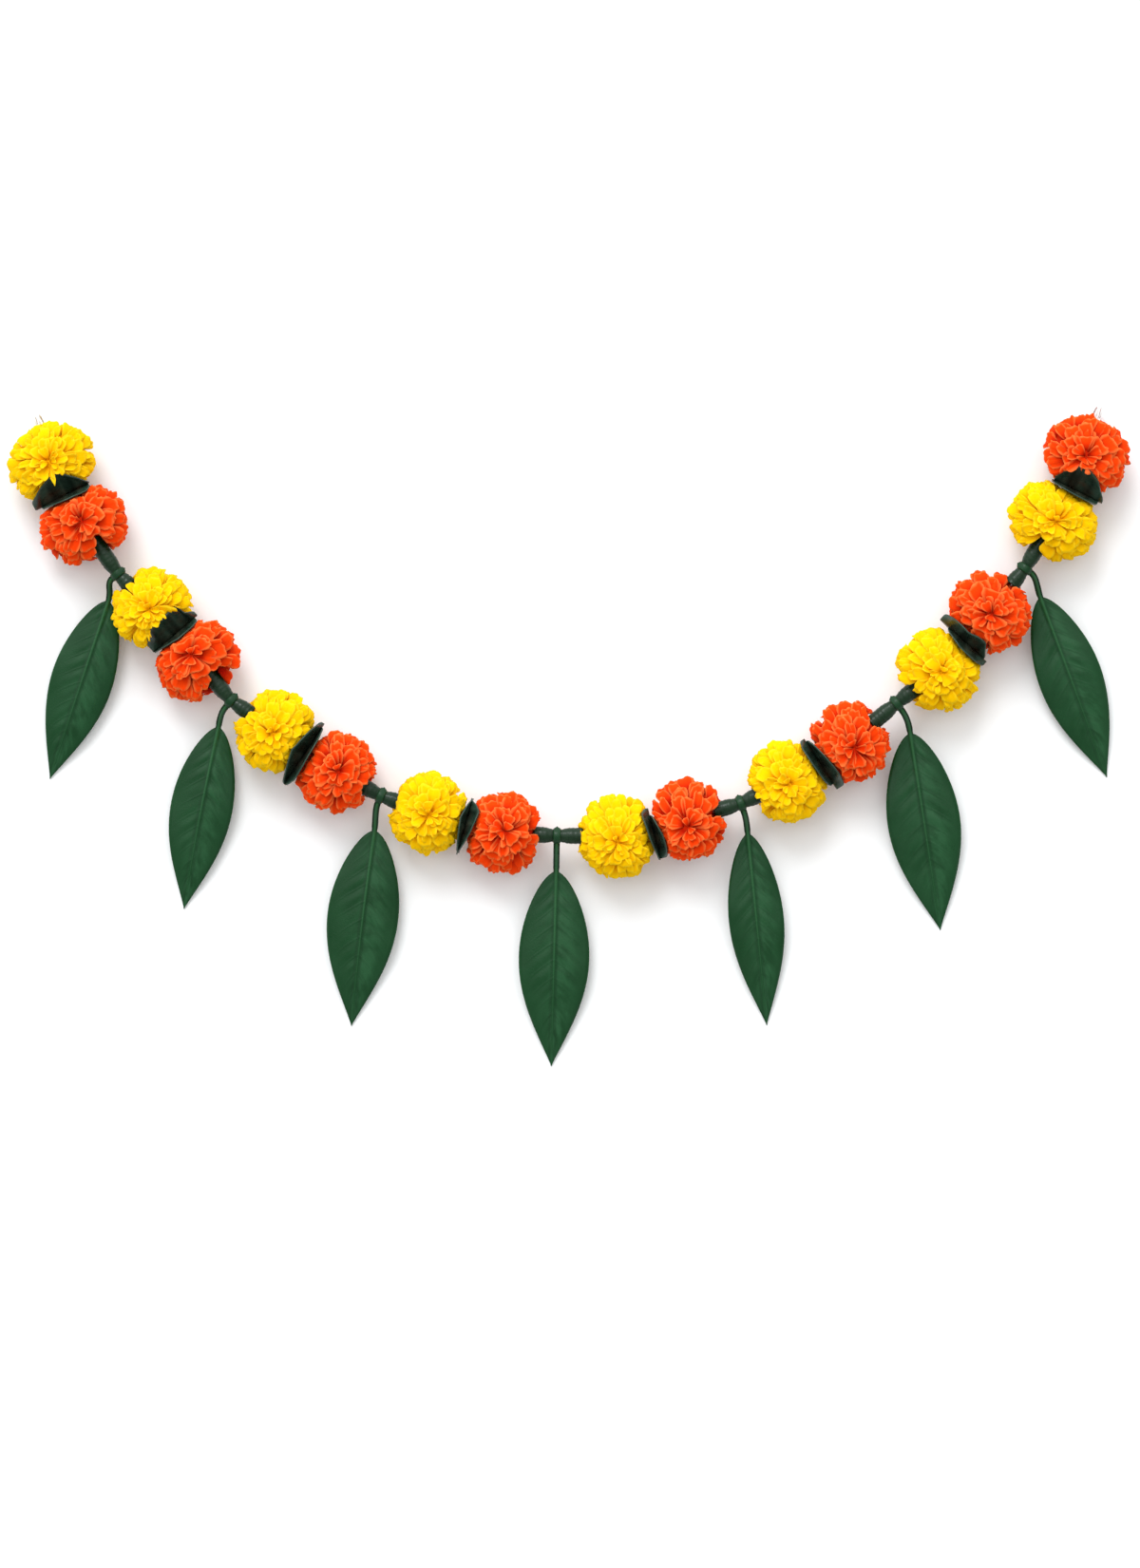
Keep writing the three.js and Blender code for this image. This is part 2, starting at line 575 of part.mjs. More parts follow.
function leafSolid(k) {
  const [baseX, baseY, tipX, tipY, width, bow] = LEAVES[k];
  const waist = waistAt(k);
  const threadLine = direction(bloomAt(2 * k + 1), bloomAt(2 * k + 2));
  const aside = new THREE.Vector3(threadLine.y, -threadLine.x, 0); // to the leaf's side of the thread
  const base = new THREE.Vector3(baseX, baseY, BLADE_BASE_HEIGHT);
  const tip = new THREE.Vector3(tipX, tipY, BLADE_THICKNESS + BLADE_TIP_CLEARANCE);
  const bladeLine = direction(base.clone().setZ(0), tip.clone().setZ(0));
  const bladeSide = new THREE.Vector3(-bladeLine.y, bladeLine.x, 0);

  const ringMiddle = (HOOP_INNER_RADIUS + HOOP_OUTER_RADIUS) / 2;
  const stalk = new THREE.CubicBezierCurve3(
    waist.clone().addScaledVector(aside, ringMiddle),
    waist.clone().addScaledVector(aside, ringMiddle + STALK_START_PULL),
    base.clone().addScaledVector(bladeLine, -STALK_END_PULL).setZ(BLADE_BASE_HEIGHT + STALK_END_RISE),
    base,
  );
  const skin = new Skin();
  const rows = [];
  const addRow = (middle, side, halfWidth, thickness, droop) => {
    const top = BLADE_COLUMNS.map((u) => {
      const point = middle.clone().addScaledVector(side, u * halfWidth);
      return point.setZ(point.z - droop * Math.abs(u) ** BLADE_FOLD);
    });
    const bottom = top.map((point) => point.clone().add(new THREE.Vector3(0, 0, -thickness))).reverse();
    const loop = [...top, ...bottom];
    rows.push(skin.ring(loop, loop.map((_, i) => i)));
  };
  [0, 0.5].forEach((t) => {
    const tangent = stalk.getTangent(t).setZ(0).normalize();
    const side = new THREE.Vector3(-tangent.y, tangent.x, 0);
    const middle = stalk.getPoint(t);
    middle.z += STALK_THICKNESS / 2;
    addRow(middle, side, STALK_WIDTH / 2, STALK_THICKNESS, 0);
  });
  BLADE_STATIONS.forEach((t) => {
    const fullness = bladeFullness(t);
    const middle = base.clone().lerp(tip, t)
      .addScaledVector(bladeSide, bow * Math.sin(Math.PI * t))
      .add(new THREE.Vector3(0, 0, BLADE_ARCH * Math.sin(Math.PI * t)));
    const least = t < 0.5 ? STALK_WIDTH : BLADE_TIP_WIDTH;
    const halfWidth = Math.max(least, width * fullness) / 2;
    addRow(middle, bladeSide, halfWidth, BLADE_THICKNESS, BLADE_DROOP * fullness);
  });
  for (let i = 0; i + 1 < rows.length; i += 1) {
    const [near, far] = [rows[i], rows[i + 1]];
    for (let j = 0; j < near.count; j += 1) {
      const next = (j + 1) % near.count;
      const [a, b, c, d] = [near.first + j, near.first + next, far.first + next, far.first + j];
      const isTop = j < BLADE_COLUMNS.length - 1;
      const isBottom = j >= BLADE_COLUMNS.length && next !== 0;
      const mirrored = isTop ? j >= 2 : isBottom && j - BLADE_COLUMNS.length < 2;
      if (mirrored) skin.faces.push(a, d, b, b, d, c);
      else skin.faces.push(a, d, c, a, c, b);
    }
  }
  const capRow = (row, flip) => {
    for (let j = 0; j < BLADE_COLUMNS.length - 1; j += 1) {
      const [a, b] = [row.first + j, row.first + j + 1];
      const [c, d] = [row.first + row.count - 2 - j, row.first + row.count - 1 - j];
      if (flip) skin.faces.push(a, b, c, a, c, d);
      else skin.faces.push(a, c, b, a, d, c);
    }
  };
  capRow(rows[0], true);
  capRow(rows[rows.length - 1], false);
  const strap = toSolid(skin.geometry());
  const band = [
    [HOOP_INNER_RADIUS, -HOOP_WIDTH / 2],
    [HOOP_OUTER_RADIUS, -HOOP_WIDTH / 2],
    [HOOP_OUTER_RADIUS, HOOP_WIDTH / 2],
    [HOOP_INNER_RADIUS, HOOP_WIDTH / 2],
    [HOOP_INNER_RADIUS, -HOOP_WIDTH / 2],
  ];
  const hoop = toSolid(place(lathe(band, SLEEVE_SIDES), waist, threadLine));
  return strap.add(hoop);
}

// ---------------------------------------------------------------- the garland

const garland = new THREE.Group();

garland.add(toMesh(threadSolid, 'thread', THREAD_COTTON));
['left', 'right'].forEach((side, end) => {
  garland.add(toMesh(knotSolid(knotAt[end], 0), `knot_${side}`, THREAD_COTTON));
  garland.add(toMesh(loopSolid(end), `loop_${side}`, THREAD_COTTON));
});
BLOOMS.forEach((_, index) => {
  const number = String(index + 1).padStart(2, '0');
  const cloth = index % 2 === 0 ? YELLOW_CLOTH : ORANGE_CLOTH;
  garland.add(toMesh(bloomSolid(index), `bloom_${number}`, cloth));
  garland.add(toMesh(collarSolid(index), `collar_${number}`, COLLAR_PLASTIC));
});
SLEEVES.forEach((_, k) => {
  garland.add(toMesh(sleeveSolid(k), `sleeve_${k + 1}`, SLEEVE_TAPE));
  garland.add(toMesh(leafSolid(k), `leaf_${k + 1}`, LEAF_PLASTIC));
});

export default garland;
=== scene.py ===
# A door garland of marigold pompons and mango leaves, laid flat in a shallow U and seen from straight above.
# Tables and formulas are in millimetres, in the frame of the CAD model, and each finished mesh is in metres.

import bisect
import random
from functools import partialmethod
from math import acos, atan2, copysign, cos, degrees, exp, hypot, pi, radians, sin, sqrt

import bmesh
import bpy
from bpy.props import FloatProperty, FloatVectorProperty, PointerProperty
from bpy.types import Operator, Panel, PropertyGroup
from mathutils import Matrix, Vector


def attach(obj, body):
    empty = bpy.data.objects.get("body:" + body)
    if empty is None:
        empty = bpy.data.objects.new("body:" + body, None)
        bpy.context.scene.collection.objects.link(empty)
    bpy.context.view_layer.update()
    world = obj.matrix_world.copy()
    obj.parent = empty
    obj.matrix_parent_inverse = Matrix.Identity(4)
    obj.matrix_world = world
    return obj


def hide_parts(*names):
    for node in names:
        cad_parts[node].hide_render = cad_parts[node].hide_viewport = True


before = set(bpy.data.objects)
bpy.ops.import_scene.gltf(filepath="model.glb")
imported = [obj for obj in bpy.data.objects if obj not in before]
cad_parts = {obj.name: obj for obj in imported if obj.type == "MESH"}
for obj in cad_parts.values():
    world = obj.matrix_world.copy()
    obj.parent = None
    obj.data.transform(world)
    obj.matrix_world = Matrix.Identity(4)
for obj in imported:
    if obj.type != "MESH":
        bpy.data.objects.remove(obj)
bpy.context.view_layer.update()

bl_info = {
    "name": "Marigold Garland",
    "version": (1, 0, 0),
    "blender": (4, 5, 0),
    "location": "3D View > Sidebar > Garland",
    "description": "Dresses the packed marigold garland with cloth blooms, collars, sleeves and leaves",
    "category": "Object",
}

MM = 0.001

# -------------------- the garland's places, as in the CAD model

THREAD_HEIGHT = 27.0
THREAD_RADIUS = 0.9
BLOOM_ALONG = 27.8
BLOOM_RISE = 25.5
BLOOM_CENTRE_HEIGHT = 25.2
KNOT_REACH = 25.2  # end bloom's centre to the middle of its knot
KNOT_HALF = 2.95  # from there to where the thread begins
KNOT_SIZE = 0.55
KNOT_STEPS = 72
PLIES = 2
TWIST_PITCH = 3.4

# Centre of each bloom (x, y), its radius square to the thread, then where its petal centre lies from (x, y).
BLOOMS = [
    (-363.3, 195.2, 31.0, 0.0, -0.7),
    (-340.5, 151.6, 32.2, -0.6, 1.7),
    (-292.9, 93.2, 29.0, -1.0, -1.7),
    (-261.0, 55.8, 31.0, -3.5, 4.3),
    (-206.3, 7.2, 29.5, -0.8, -1.7),
    (-163.1, -21.7, 29.3, 1.4, 0.0),
    (-98.9, -50.2, 28.7, 0.7, -2.0),
    (-46.3, -64.5, 29.1, 0.5, 1.6),
    (33.7, -66.8, 29.5, -0.3, -4.1),
    (83.3, -54.6, 28.7, -0.1, -5.8),
    (153.1, -28.2, 29.2, 0.3, -2.9),
    (196.8, -0.4, 28.9, 1.7, -5.1),
    (258.4, 49.8, 30.4, 1.7, -2.5),
    (294.9, 90.5, 30.2, 0.2, -2.0),
    (339.7, 154.5, 31.8, 0.3, -1.7),
    (362.9, 200.8, 31.2, -2.1, -2.1),
]

END_BLOOMS = (0, len(BLOOMS) - 1)
SIDES = ("left", "right")

# Where the thread leaves the first and the last bloom (x, y).
THREAD_EXITS = [(-372.3, 221.6), (370.7, 227.0)]

# Waist of each sleeve (x, y), then how far from the bloom before and after it the petals part over it.
SLEEVES = [
    (-316.9, 117.2, 14.0, 22.0),
    (-237.3, 28.3, 14.0, 23.0),
    (-132.3, -38.5, 22.0, 25.0),
    (-8.8, -66.5, 24.0, 27.0),
    (120.2, -43.8, 21.5, 23.0),
    (229.4, 26.3, 22.0, 20.0),
    (319.5, 121.0, 27.0, 18.0),
]
SLEEVE_END_RADIUS = 5.5
SLEEVE_WAIST_RADIUS = 4.0
SLEEVE_TAPER = 10.0
SLEEVE_TUCK = 2.5
SLEEVE_STEP = 0.75  # from one ring of its mesh to the next
TAPE_PITCH = 3.1  # from one turn of the tape to the next
TAPE_STEP = 0.3  # how proud each turn stands over the one before it

# Base of each leaf blade (x, y), its tip (x, y), its width, and the sideways bow of its midrib.
LEAVES = [
    (-324.3, 98.5, -366.5, -26.6, 43.6, 0.0),
    (-246.9, 9.8, -271.9, -118.3, 43.7, -1.0),
    (-137.1, -62.8, -153.8, -200.8, 50.0, -1.0),
    (-9.3, -91.5, -12.8, -229.2, 49.7, 0.0),
    (125.4, -65.2, 139.2, -200.3, 38.8, 0.0),
    (239.7, 5.5, 261.6, -133.2, 51.2, 0.0),
    (331.3, 101.0, 379.1, -25.4, 45.0, 0.0),
]
STALK_WIDTH = 4.0
STALK_THICKNESS = 1.4
STALK_START = 4.6  # from the thread's axis, inside the wrapping of the waist
STALK_START_PULL = 6.0
STALK_END_PULL = 8.0
STALK_END_RISE = 2.5
BLADE_ARCH = 5.0
BLADE_DROOP = 2.6
BLADE_FOLD = 1.6
BLADE_TIP_WIDTH = 0.5
BLADE_TIP_HEIGHT = 1.05
BLADE_BASE_HEIGHT = 15.0
STALK_ROWS = 14
BLADE_ROWS = 80
BLADE_COLUMNS = 26
SIDE_VEINS = 11
VEIN_LEAN, VEIN_CURVE = 0.14, 1.15  # a side vein runs this much of the blade's length towards the tip
# The leaf's sheen is painted into its colour.
LEAF_SHEEN = (6.0, 2.0, 3.1)  # how much more of each colour the satin shows where it shines
WRAP_RADIUS, WRAP_HALF_WIDTH = 4.75, 2.7  # of the band round the waist
WRAP_SPIN = 6.0  # radius at which its section is spun before it takes its form

# One strand of an end loop: reach from the end bloom's centre, distance to its twin strand, and height.
LOOP_DIAMETER = 1.3
LOOP_STRAND = [
    (28.2, 2.6, 27.0), (30.6, 2.8, 27.0), (33.0, 3.0, 25.6), (34.8, 3.2, 22.0), (35.2, 3.4, 16.5),
    (34.8, 3.6, 10.8), (33.4, 4.0, 5.4), (30.4, 4.6, 1.9), (26.4, 5.4, 0.8), (22.0, 6.2, 0.7),
    (18.2, 5.6, 0.7), (15.6, 0.0, 0.7),
]

COLLAR_RADIUS = 20.5
COLLAR_HOLE_RADIUS = 0.95
COLLAR_THICKNESS = 0.9
COLLAR_LEAN_BELOW = 5.5
COLLAR_NOTCH = (0.03, 0.14)  # depth of the notches between sepals, as a share: above and below the thread

# How far above the thread the two collars of each pair still touch.
COLLAR_SHUT = [2.2, 2.2, 2.2, 8.0, 2.2, 2.2, 2.2, 2.2]

# Upper edge of each collar from above: places across the thread, from right to left when looking from the
# pair's first bloom to its second, each with how far the edge leans over its own bloom.
COLLAR_EDGES = [
    [(-25.4, 7.0), (1.3, 17.9), (5.6, 11.4), (11.4, 6.0), (17.1, 0.4)],
    [(-20.6, 2.0), (0.0, 4.5), (15.8, 5.1)],
    [(-19.0, 12.8), (-2.0, 13.6), (14.6, 14.4), (15.2, 7.2), (20.9, 4.9)],
    [(-19.0, 0.5), (0.0, 4.6), (18.3, 4.3)],
    [(-27.7, 1.4), (-4.0, 8.5), (23.2, 3.3)],
    [(-28.0, 1.8), (-21.1, 4.8), (12.6, 2.5), (20.0, 1.0)],
    [(-23.3, 1.7), (-18.0, 1.3), (2.8, 4.6), (17.8, 0.2)],
    [(-22.0, 0.8), (-17.5, 1.4), (-5.0, 5.0), (9.5, 7.4), (17.8, 2.2)],
    [(-23.5, 0.8), (-8.0, 3.5), (13.7, 5.7)],
    [(-22.4, 6.7), (-6.0, 5.0), (8.8, 0.6)],
    [(-18.7, 3.8), (0.0, 5.2), (18.6, 5.4)],
    [(-23.3, 8.3), (0.0, 5.0), (16.7, 1.5)],
    [(-21.4, 6.3), (0.0, 6.0), (14.0, 2.0)],
    [(-19.0, 1.0), (-12.0, 8.8), (-6.0, 8.0), (2.0, 5.6), (22.4, 7.2)],
    [(-21.9, 3.9), (0.0, 4.0), (13.9, 2.2)],
    [(-24.9, 2.1), (-15.1, 12.1), (-1.1, 18.6), (12.7, 4.3)],
]

FLOOR_HALF, FLOOR_DROP = 9000.0, 0.2

# The middle of the photo's frame, its height there, and the lights, all in metres, and the camera's sensor.
AIM = (0.0004, -0.0302, THREAD_HEIGHT * MM)
PHOTO_HEIGHT = 1.1
KEY_PLACE, WINDOW_PLACE = (-0.7, 2.2, 2.55), (-0.5, 2.4, 1.9)
SENSOR = 36.0

# -------------------- how the petals of a bloom are laid

# Petals follow each other round the bloom by the golden angle, from the petal centre down to its underside.
GOLDEN_TURN = pi * (3 - sqrt(5))
HABITS = [
    {"slot": "yellow_cloth", "petals": 156, "first": 7.0, "last": 154.0, "unruly": 5.0, "broad": 5.3,
     "slender": 4.7, "cup": 0.085, "fold": 0.018, "folds": 2.0, "lip": 0.014,
     "ragged": 0.06, "serrated": 0.035},
    {"slot": "orange_cloth", "petals": 102, "first": 8.0, "last": 152.0, "unruly": 7.0, "broad": 7.4,
     "slender": 6.2, "cup": 0.115, "fold": 0.034, "folds": 2.3, "lip": 0.012,
     "ragged": 0.08, "serrated": 0.045},
]
PETAL_COLUMNS = 8
PETAL_STOPS = (0.0, 0.38, 0.68, 0.88, 1.0)  # rows of a petal from its root to its tip
PETAL_WAIST = 0.55  # from where the outline of a petal rounds off
PETAL_GIVE = 6.5  # a petal that a sleeve would press aside further than this isn't there
PETAL_REACH = 42.0  # degrees from a petal's root to its tip
PETAL_ROOT = 0.72  # where the roots are, as a share of the way from the bloom's centre to the tips
HEART_ROOT = 0.83  # where those of the innermost petals are
CORE_SHARE = 0.81  # size of the ball that the petals grow from
BALL_RADIUS = 30.0  # a width on the bloom's surface over this is an angle at its centre
SOFT_DEPTH = 4.0  # petals pressed against a collar give way over this depth
SLEEVE_SPREAD = 9.0  # petals over a sleeve are pushed aside as far as this beside it
END_HOLE = (20.0, 3.1)  # where the petals part round the thread's end: distance and half width
LOOP_BED = (11.0, 14.0, 5.0, 2.2)  # room for a loop under its bloom: from, fully from, half width, height
FLOOR_GAP, FLOOR_GIVE = 0.3, 1.7  # petals stay this far off the floor, and flatten over this depth above it

# The first number of each kind of piece's own row of random draws.
BLOOM_SEED, LEAF_SEED, COLLAR_SEED, SLEEVE_SEED = 90, 300, 410, 700


def srgb(red, green, blue):
    """A colour given in 0 to 255 as linear light."""
    def light(value):
        value /= 255
        return value / 12.92 if value <= 0.04045 else ((value + 0.055) / 1.055) ** 2.4
    return light(red), light(green), light(blue)


def smooth(low, high, value):
    """0 at low, 1 at high, a soft ramp between them, and level beyond them."""
    t = min(max((value - low) / (high - low), 0.0), 1.0)
    return t * t * (3 - 2 * t)


def between(first, second, share):
    return first + (second - first) * share


def cushioned(value, least, depth):
    """A value that gives way softly over a depth, so that it never falls below the least."""
    return value if value >= least + depth else least + depth * exp((value - least - depth) / depth)


def flat(x, y, z=THREAD_HEIGHT):
    return Vector((x, y, z))


def raised(spot, z):
    return Vector((spot.x, spot.y, z))


def bloom_place(index):
    return flat(*BLOOMS[index][:2])


def waist_place(k):
    return flat(*SLEEVES[k][:2])


def partner_of(index):
    return index + 1 if index % 2 == 0 else index - 1


def left_of(line):
    return Vector((-line.y, line.x, 0))


# -------------------- settings

def colour(name, description, default):
    return FloatVectorProperty(name=name, description=description, default=default,
                               subtype="COLOR", size=3, min=0, max=1)


def measure(name, description, default, least, most, **kind):
    return FloatProperty(name=name, description=description, default=default, min=least, max=most, **kind)


class GARLAND_PG_blooms(PropertyGroup):
    yellow: colour("Yellow petals", "Cloth of the odd blooms", srgb(255, 197, 0))
    # The root colours are painted shade in the petals' hollows, and the lip colours are painted highlights.
    yellow_root: colour("Yellow roots", "Deep folds of the odd blooms", srgb(238, 160, 0))
    yellow_lip: colour("Yellow lips", "Edges of the odd blooms' petals", srgb(255, 214, 34))
    orange: colour("Orange petals", "Cloth of the even blooms", srgb(250, 66, 6))
    orange_root: colour("Orange roots", "Deep folds of the even blooms", srgb(178, 18, 1))
    orange_lip: colour("Orange lips", "Edges of the even blooms' petals", srgb(255, 134, 68))
    petal_thickness: measure("Petal thickness", "Thickness of the petal cloth",
                             0.25 * MM, 0.1 * MM, 1.0 * MM, unit="LENGTH")


class GARLAND_PG_greens(PropertyGroup):
    leaf: colour("Leaf", "Face of the leaf blades", srgb(8, 55, 23))
    leaf_vein: colour("Leaf veins", "Midrib, side veins and edges of the blades", srgb(46, 98, 58))
    sleeve: colour("Sleeve tape", "Tape wound round the sleeves", srgb(8, 36, 14))
    collar: colour("Collar", "Sepals between the blooms", srgb(24, 42, 32))
    # This brown is painted glints, laid in patches towards the thread.
    collar_fold: colour("Collar folds", "Brown tint deep in the sepals", srgb(62, 36, 22))
    blade_thickness: measure("Blade thickness", "Thickness of the leaf blades",
                             0.9 * MM, 0.6 * MM, 2.0 * MM, unit="LENGTH")


class GARLAND_PG_thread(PropertyGroup):
    cotton: colour("Thread", "Cotton of the thread, its knots and end loops", srgb(238, 238, 235))


class GARLAND_PG_stage(PropertyGroup):
    floor: colour("Floor", "Surface the garland lies on", (0.95, 0.95, 0.95))
    sky: colour("Sky", "Light from all round", (0.965, 0.99, 0.985))
    sky_strength: measure("Sky strength", "Brightness of the light from all round", 0.62, 0, 5)
    lamps: colour("Lamps", "Colour of the key and the window", (0.96, 0.98, 1.0))
    key_strength: measure("Key strength", "Strength of the soft light from above", 1.3, 0, 20)
    key_spread: measure("Key spread", "Angle that the soft light fills",
                        radians(26), 0, pi, subtype="ANGLE")
    window_strength: measure("Window strength", "Strength of the wide light from the top", 2.3, 0, 20)
    window_spread: measure("Window spread", "Angle that the wide light fills",
                           radians(115), 0, pi, subtype="ANGLE")
    camera_distance: measure("Camera distance", "Camera to the thread", 5.0, 1, 50, unit="LENGTH")


class GARLAND_PG_settings(PropertyGroup):
    blooms: PointerProperty(type=GARLAND_PG_blooms)
    greens: PointerProperty(type=GARLAND_PG_greens)
    thread: PointerProperty(type=GARLAND_PG_thread)
    stage: PointerProperty(type=GARLAND_PG_stage)


# -------------------- material nodes

class Value:
    """What comes out of a node. Arithmetic on it adds math nodes to the same tree."""

    def __init__(self, socket):
        self.socket, self.tree = socket, socket.id_data

    def math(self, operation, *others):
        return add_node(self.tree, "Math", [self, *others], operation=operation)

    __add__ = partialmethod(math, "ADD")
    __sub__ = partialmethod(math, "SUBTRACT")
    __mul__ = partialmethod(math, "MULTIPLY")
    __truediv__ = partialmethod(math, "DIVIDE")
    __pow__ = partialmethod(math, "POWER")
    __abs__ = partialmethod(math, "ABSOLUTE")

    def sine(self, angle):
        return (self * angle).math("SINE")

    def ramp(self, low, high, to_low=0.0, to_high=1.0):
        """Runs softly from to_low where the value is low to to_high where it is high."""
        return add_node(self.tree, "MapRange", [self, low, high, to_low, to_high],
                        interpolation_type="SMOOTHSTEP")


def feed(node, values):
    """Fills the inputs of a node, in order or by name. A Value is linked, and a plain one is set."""
    for label, value in (values.items() if isinstance(values, dict) else enumerate(values)):
        socket = node.inputs[label]
        if isinstance(value, Value):
            node.id_data.links.new(value.socket, socket)
        else:
            socket.default_value = (*value[:3], 1.0) if socket.type == "RGBA" else value


def add_node(tree, kind, values=(), output=0, **settings):
    """What a new node with these settings and inputs puts out."""
    made = tree.nodes.new("ShaderNode" + kind)
    for name, value in settings.items():
        setattr(made, name, value)
    feed(made, values)
    return Value(made.outputs[output])


def marks(place, *names):
    """Values that a Shape marked its vertices with."""
    return [add_node(place.tree, "Attribute", output="Fac", attribute_name=name) for name in names]


def axis_of(place, axis):
    return add_node(place.tree, "SeparateXYZ", [place], output=axis)


def mix(tree, share, ground, tint, blend_type):
    return add_node(tree, "Mix", {0: share, 6: ground, 7: tint}, output=2,
                    data_type="RGBA", blend_type=blend_type)


def layered(ground, *layers):
    """A colour with others laid over it in turn, each by its own share."""
    for share, tint in layers:
        ground = mix(share.tree, share, ground, tint, "MIX")
    return ground


def toned(ground, tone):
    """A colour made darker or lighter by a tone that changes over the surface."""
    grey = add_node(tone.tree, "CombineXYZ", [tone, tone, tone])
    return mix(tone.tree, 1.0, ground, grey, "MULTIPLY")


def scaled(tint, factor, offset=0.0):
    """A plain colour made darker or lighter."""
    return [channel * factor + offset for channel in tint]


def noise(place, scale, detail, roughness):
    return add_node(place.tree, "TexNoise",
                    {"Vector": place, "Scale": scale, "Detail": detail, "Roughness": roughness})


def new_group(draw, labels):
    """The node group of an effect, with a named input for each value that the effect is drawn from."""
    group = bpy.data.node_groups.new(draw.__name__.title(), "ShaderNodeTree")
    for label in labels:
        kind = "NodeSocketVector" if label == "Place" else "NodeSocketFloat"
        group.interface.new_socket(label, in_out="INPUT", socket_type=kind)
    group.interface.new_socket("Value", in_out="OUTPUT", socket_type="NodeSocketFloat")
    given = group.nodes.new("NodeGroupInput").outputs
    feed(group.nodes.new("NodeGroupOutput"), [draw(*[Value(given[label]) for label in labels])])
    return group


def shared(*labels):
    """Makes an effect a node group with these inputs, built the first time that it is placed."""
    def wrap(draw):
        def placed(*values):
            group = bpy.data.node_groups.get(draw.__name__.title()) or new_group(draw, labels)
            return add_node(values[0].tree, "Group", values, node_tree=group)
        return placed
    return wrap


@shared("Place", "Scale", "Low", "High")
def mottle(place, scale, low, high):
    """Soft uneven patches: a value between low and high that changes over the surface."""
    return noise(place, scale, 3.0, 0.55).ramp(0.3, 0.7, low, high)


@shared("Place", "Across", "Along", "Threads")
def weave(place, across, along, threads):
    """Plain weave of a thin cloth: threads that cross, with a soft crinkle under them."""
    angle = threads * (2 * pi)
    return across.sine(angle) * along.sine(angle) * 0.12 + noise(place, 420.0, 2.0, 0.5)


@shared("Across", "Start")
def edge(across, start):
    """A mask over a strip whose across runs from -1 to 1: 0 inside start, and 1 along both edges."""
    return abs(across).ramp(start, 1.0)


@shared("Along", "Across", "Pitch", "Slant")
def stripes(along, across, pitch, slant):
    """Rounded stripes at right angles to along, a pitch apart, slanted by slant for each unit of across."""
    return ((across * slant + along) / pitch).math("FRACT").sine(pi)


def new_material(name):
    """A material, and the place on the object that its nodes start from."""
    material = bpy.data.materials.new(name)
    material.use_nodes = True
    return material, add_node(material.node_tree, "TexCoord", output="Object")


def finish_material(material, tint, roughness, specular=0.5, relief=None, depth=0.0, **constants):
    """Feeds the shader its colour, roughness and relief, and sets what is the same all over the surface."""
    shader = material.node_tree.nodes["Principled BSDF"]
    feed(shader, {"Base Color": tint, "Roughness": roughness, "Specular IOR Level": specular})
    feed(shader, {name.replace("_", " "): value for name, value in constants.items()})
    if relief:
        bump = {"Strength": 1.0, "Distance": depth * MM, "Height": relief}
        feed(shader, {"Normal": add_node(material.node_tree, "Bump", bump)})
    return material


def cloth_material(name, face, root, lip, root_shade_reach, pleat):
    """Petal cloth: painted shade that deepens towards its roots, a painted highlight along its lips and
    sides, and a little different from petal to petal.
    """
    material, place = new_material(name)
    along, across, tone = marks(place, "along", "across", "tone")
    # Painted highlight in the lip colour along the tip and both sides of each petal.
    lip_highlight_mask = along.ramp(0.85, 1.0).math("MAXIMUM", edge(across, 0.6) * along)
    # The root colour is painted shade: it lies at the roots and gives way to the face colour further along
    # the petal.
    tint = toned(layered(root, (along.ramp(0.2, root_shade_reach), face), (lip_highlight_mask * 0.85, lip)),
                 tone * mottle(place, 160.0, 0.95, 1.03))
    relief = stripes(across, along, 0.31, 0.12) * pleat + weave(place, across, along, 24.0) * 0.5
    return finish_material(material, tint, mottle(place, 300.0, 0.72, 0.88), 0.04, relief, 0.12,
                           Subsurface_Weight=0.06, Subsurface_Radius=(1.0, 0.6, 0.1), Subsurface_Scale=0.002)


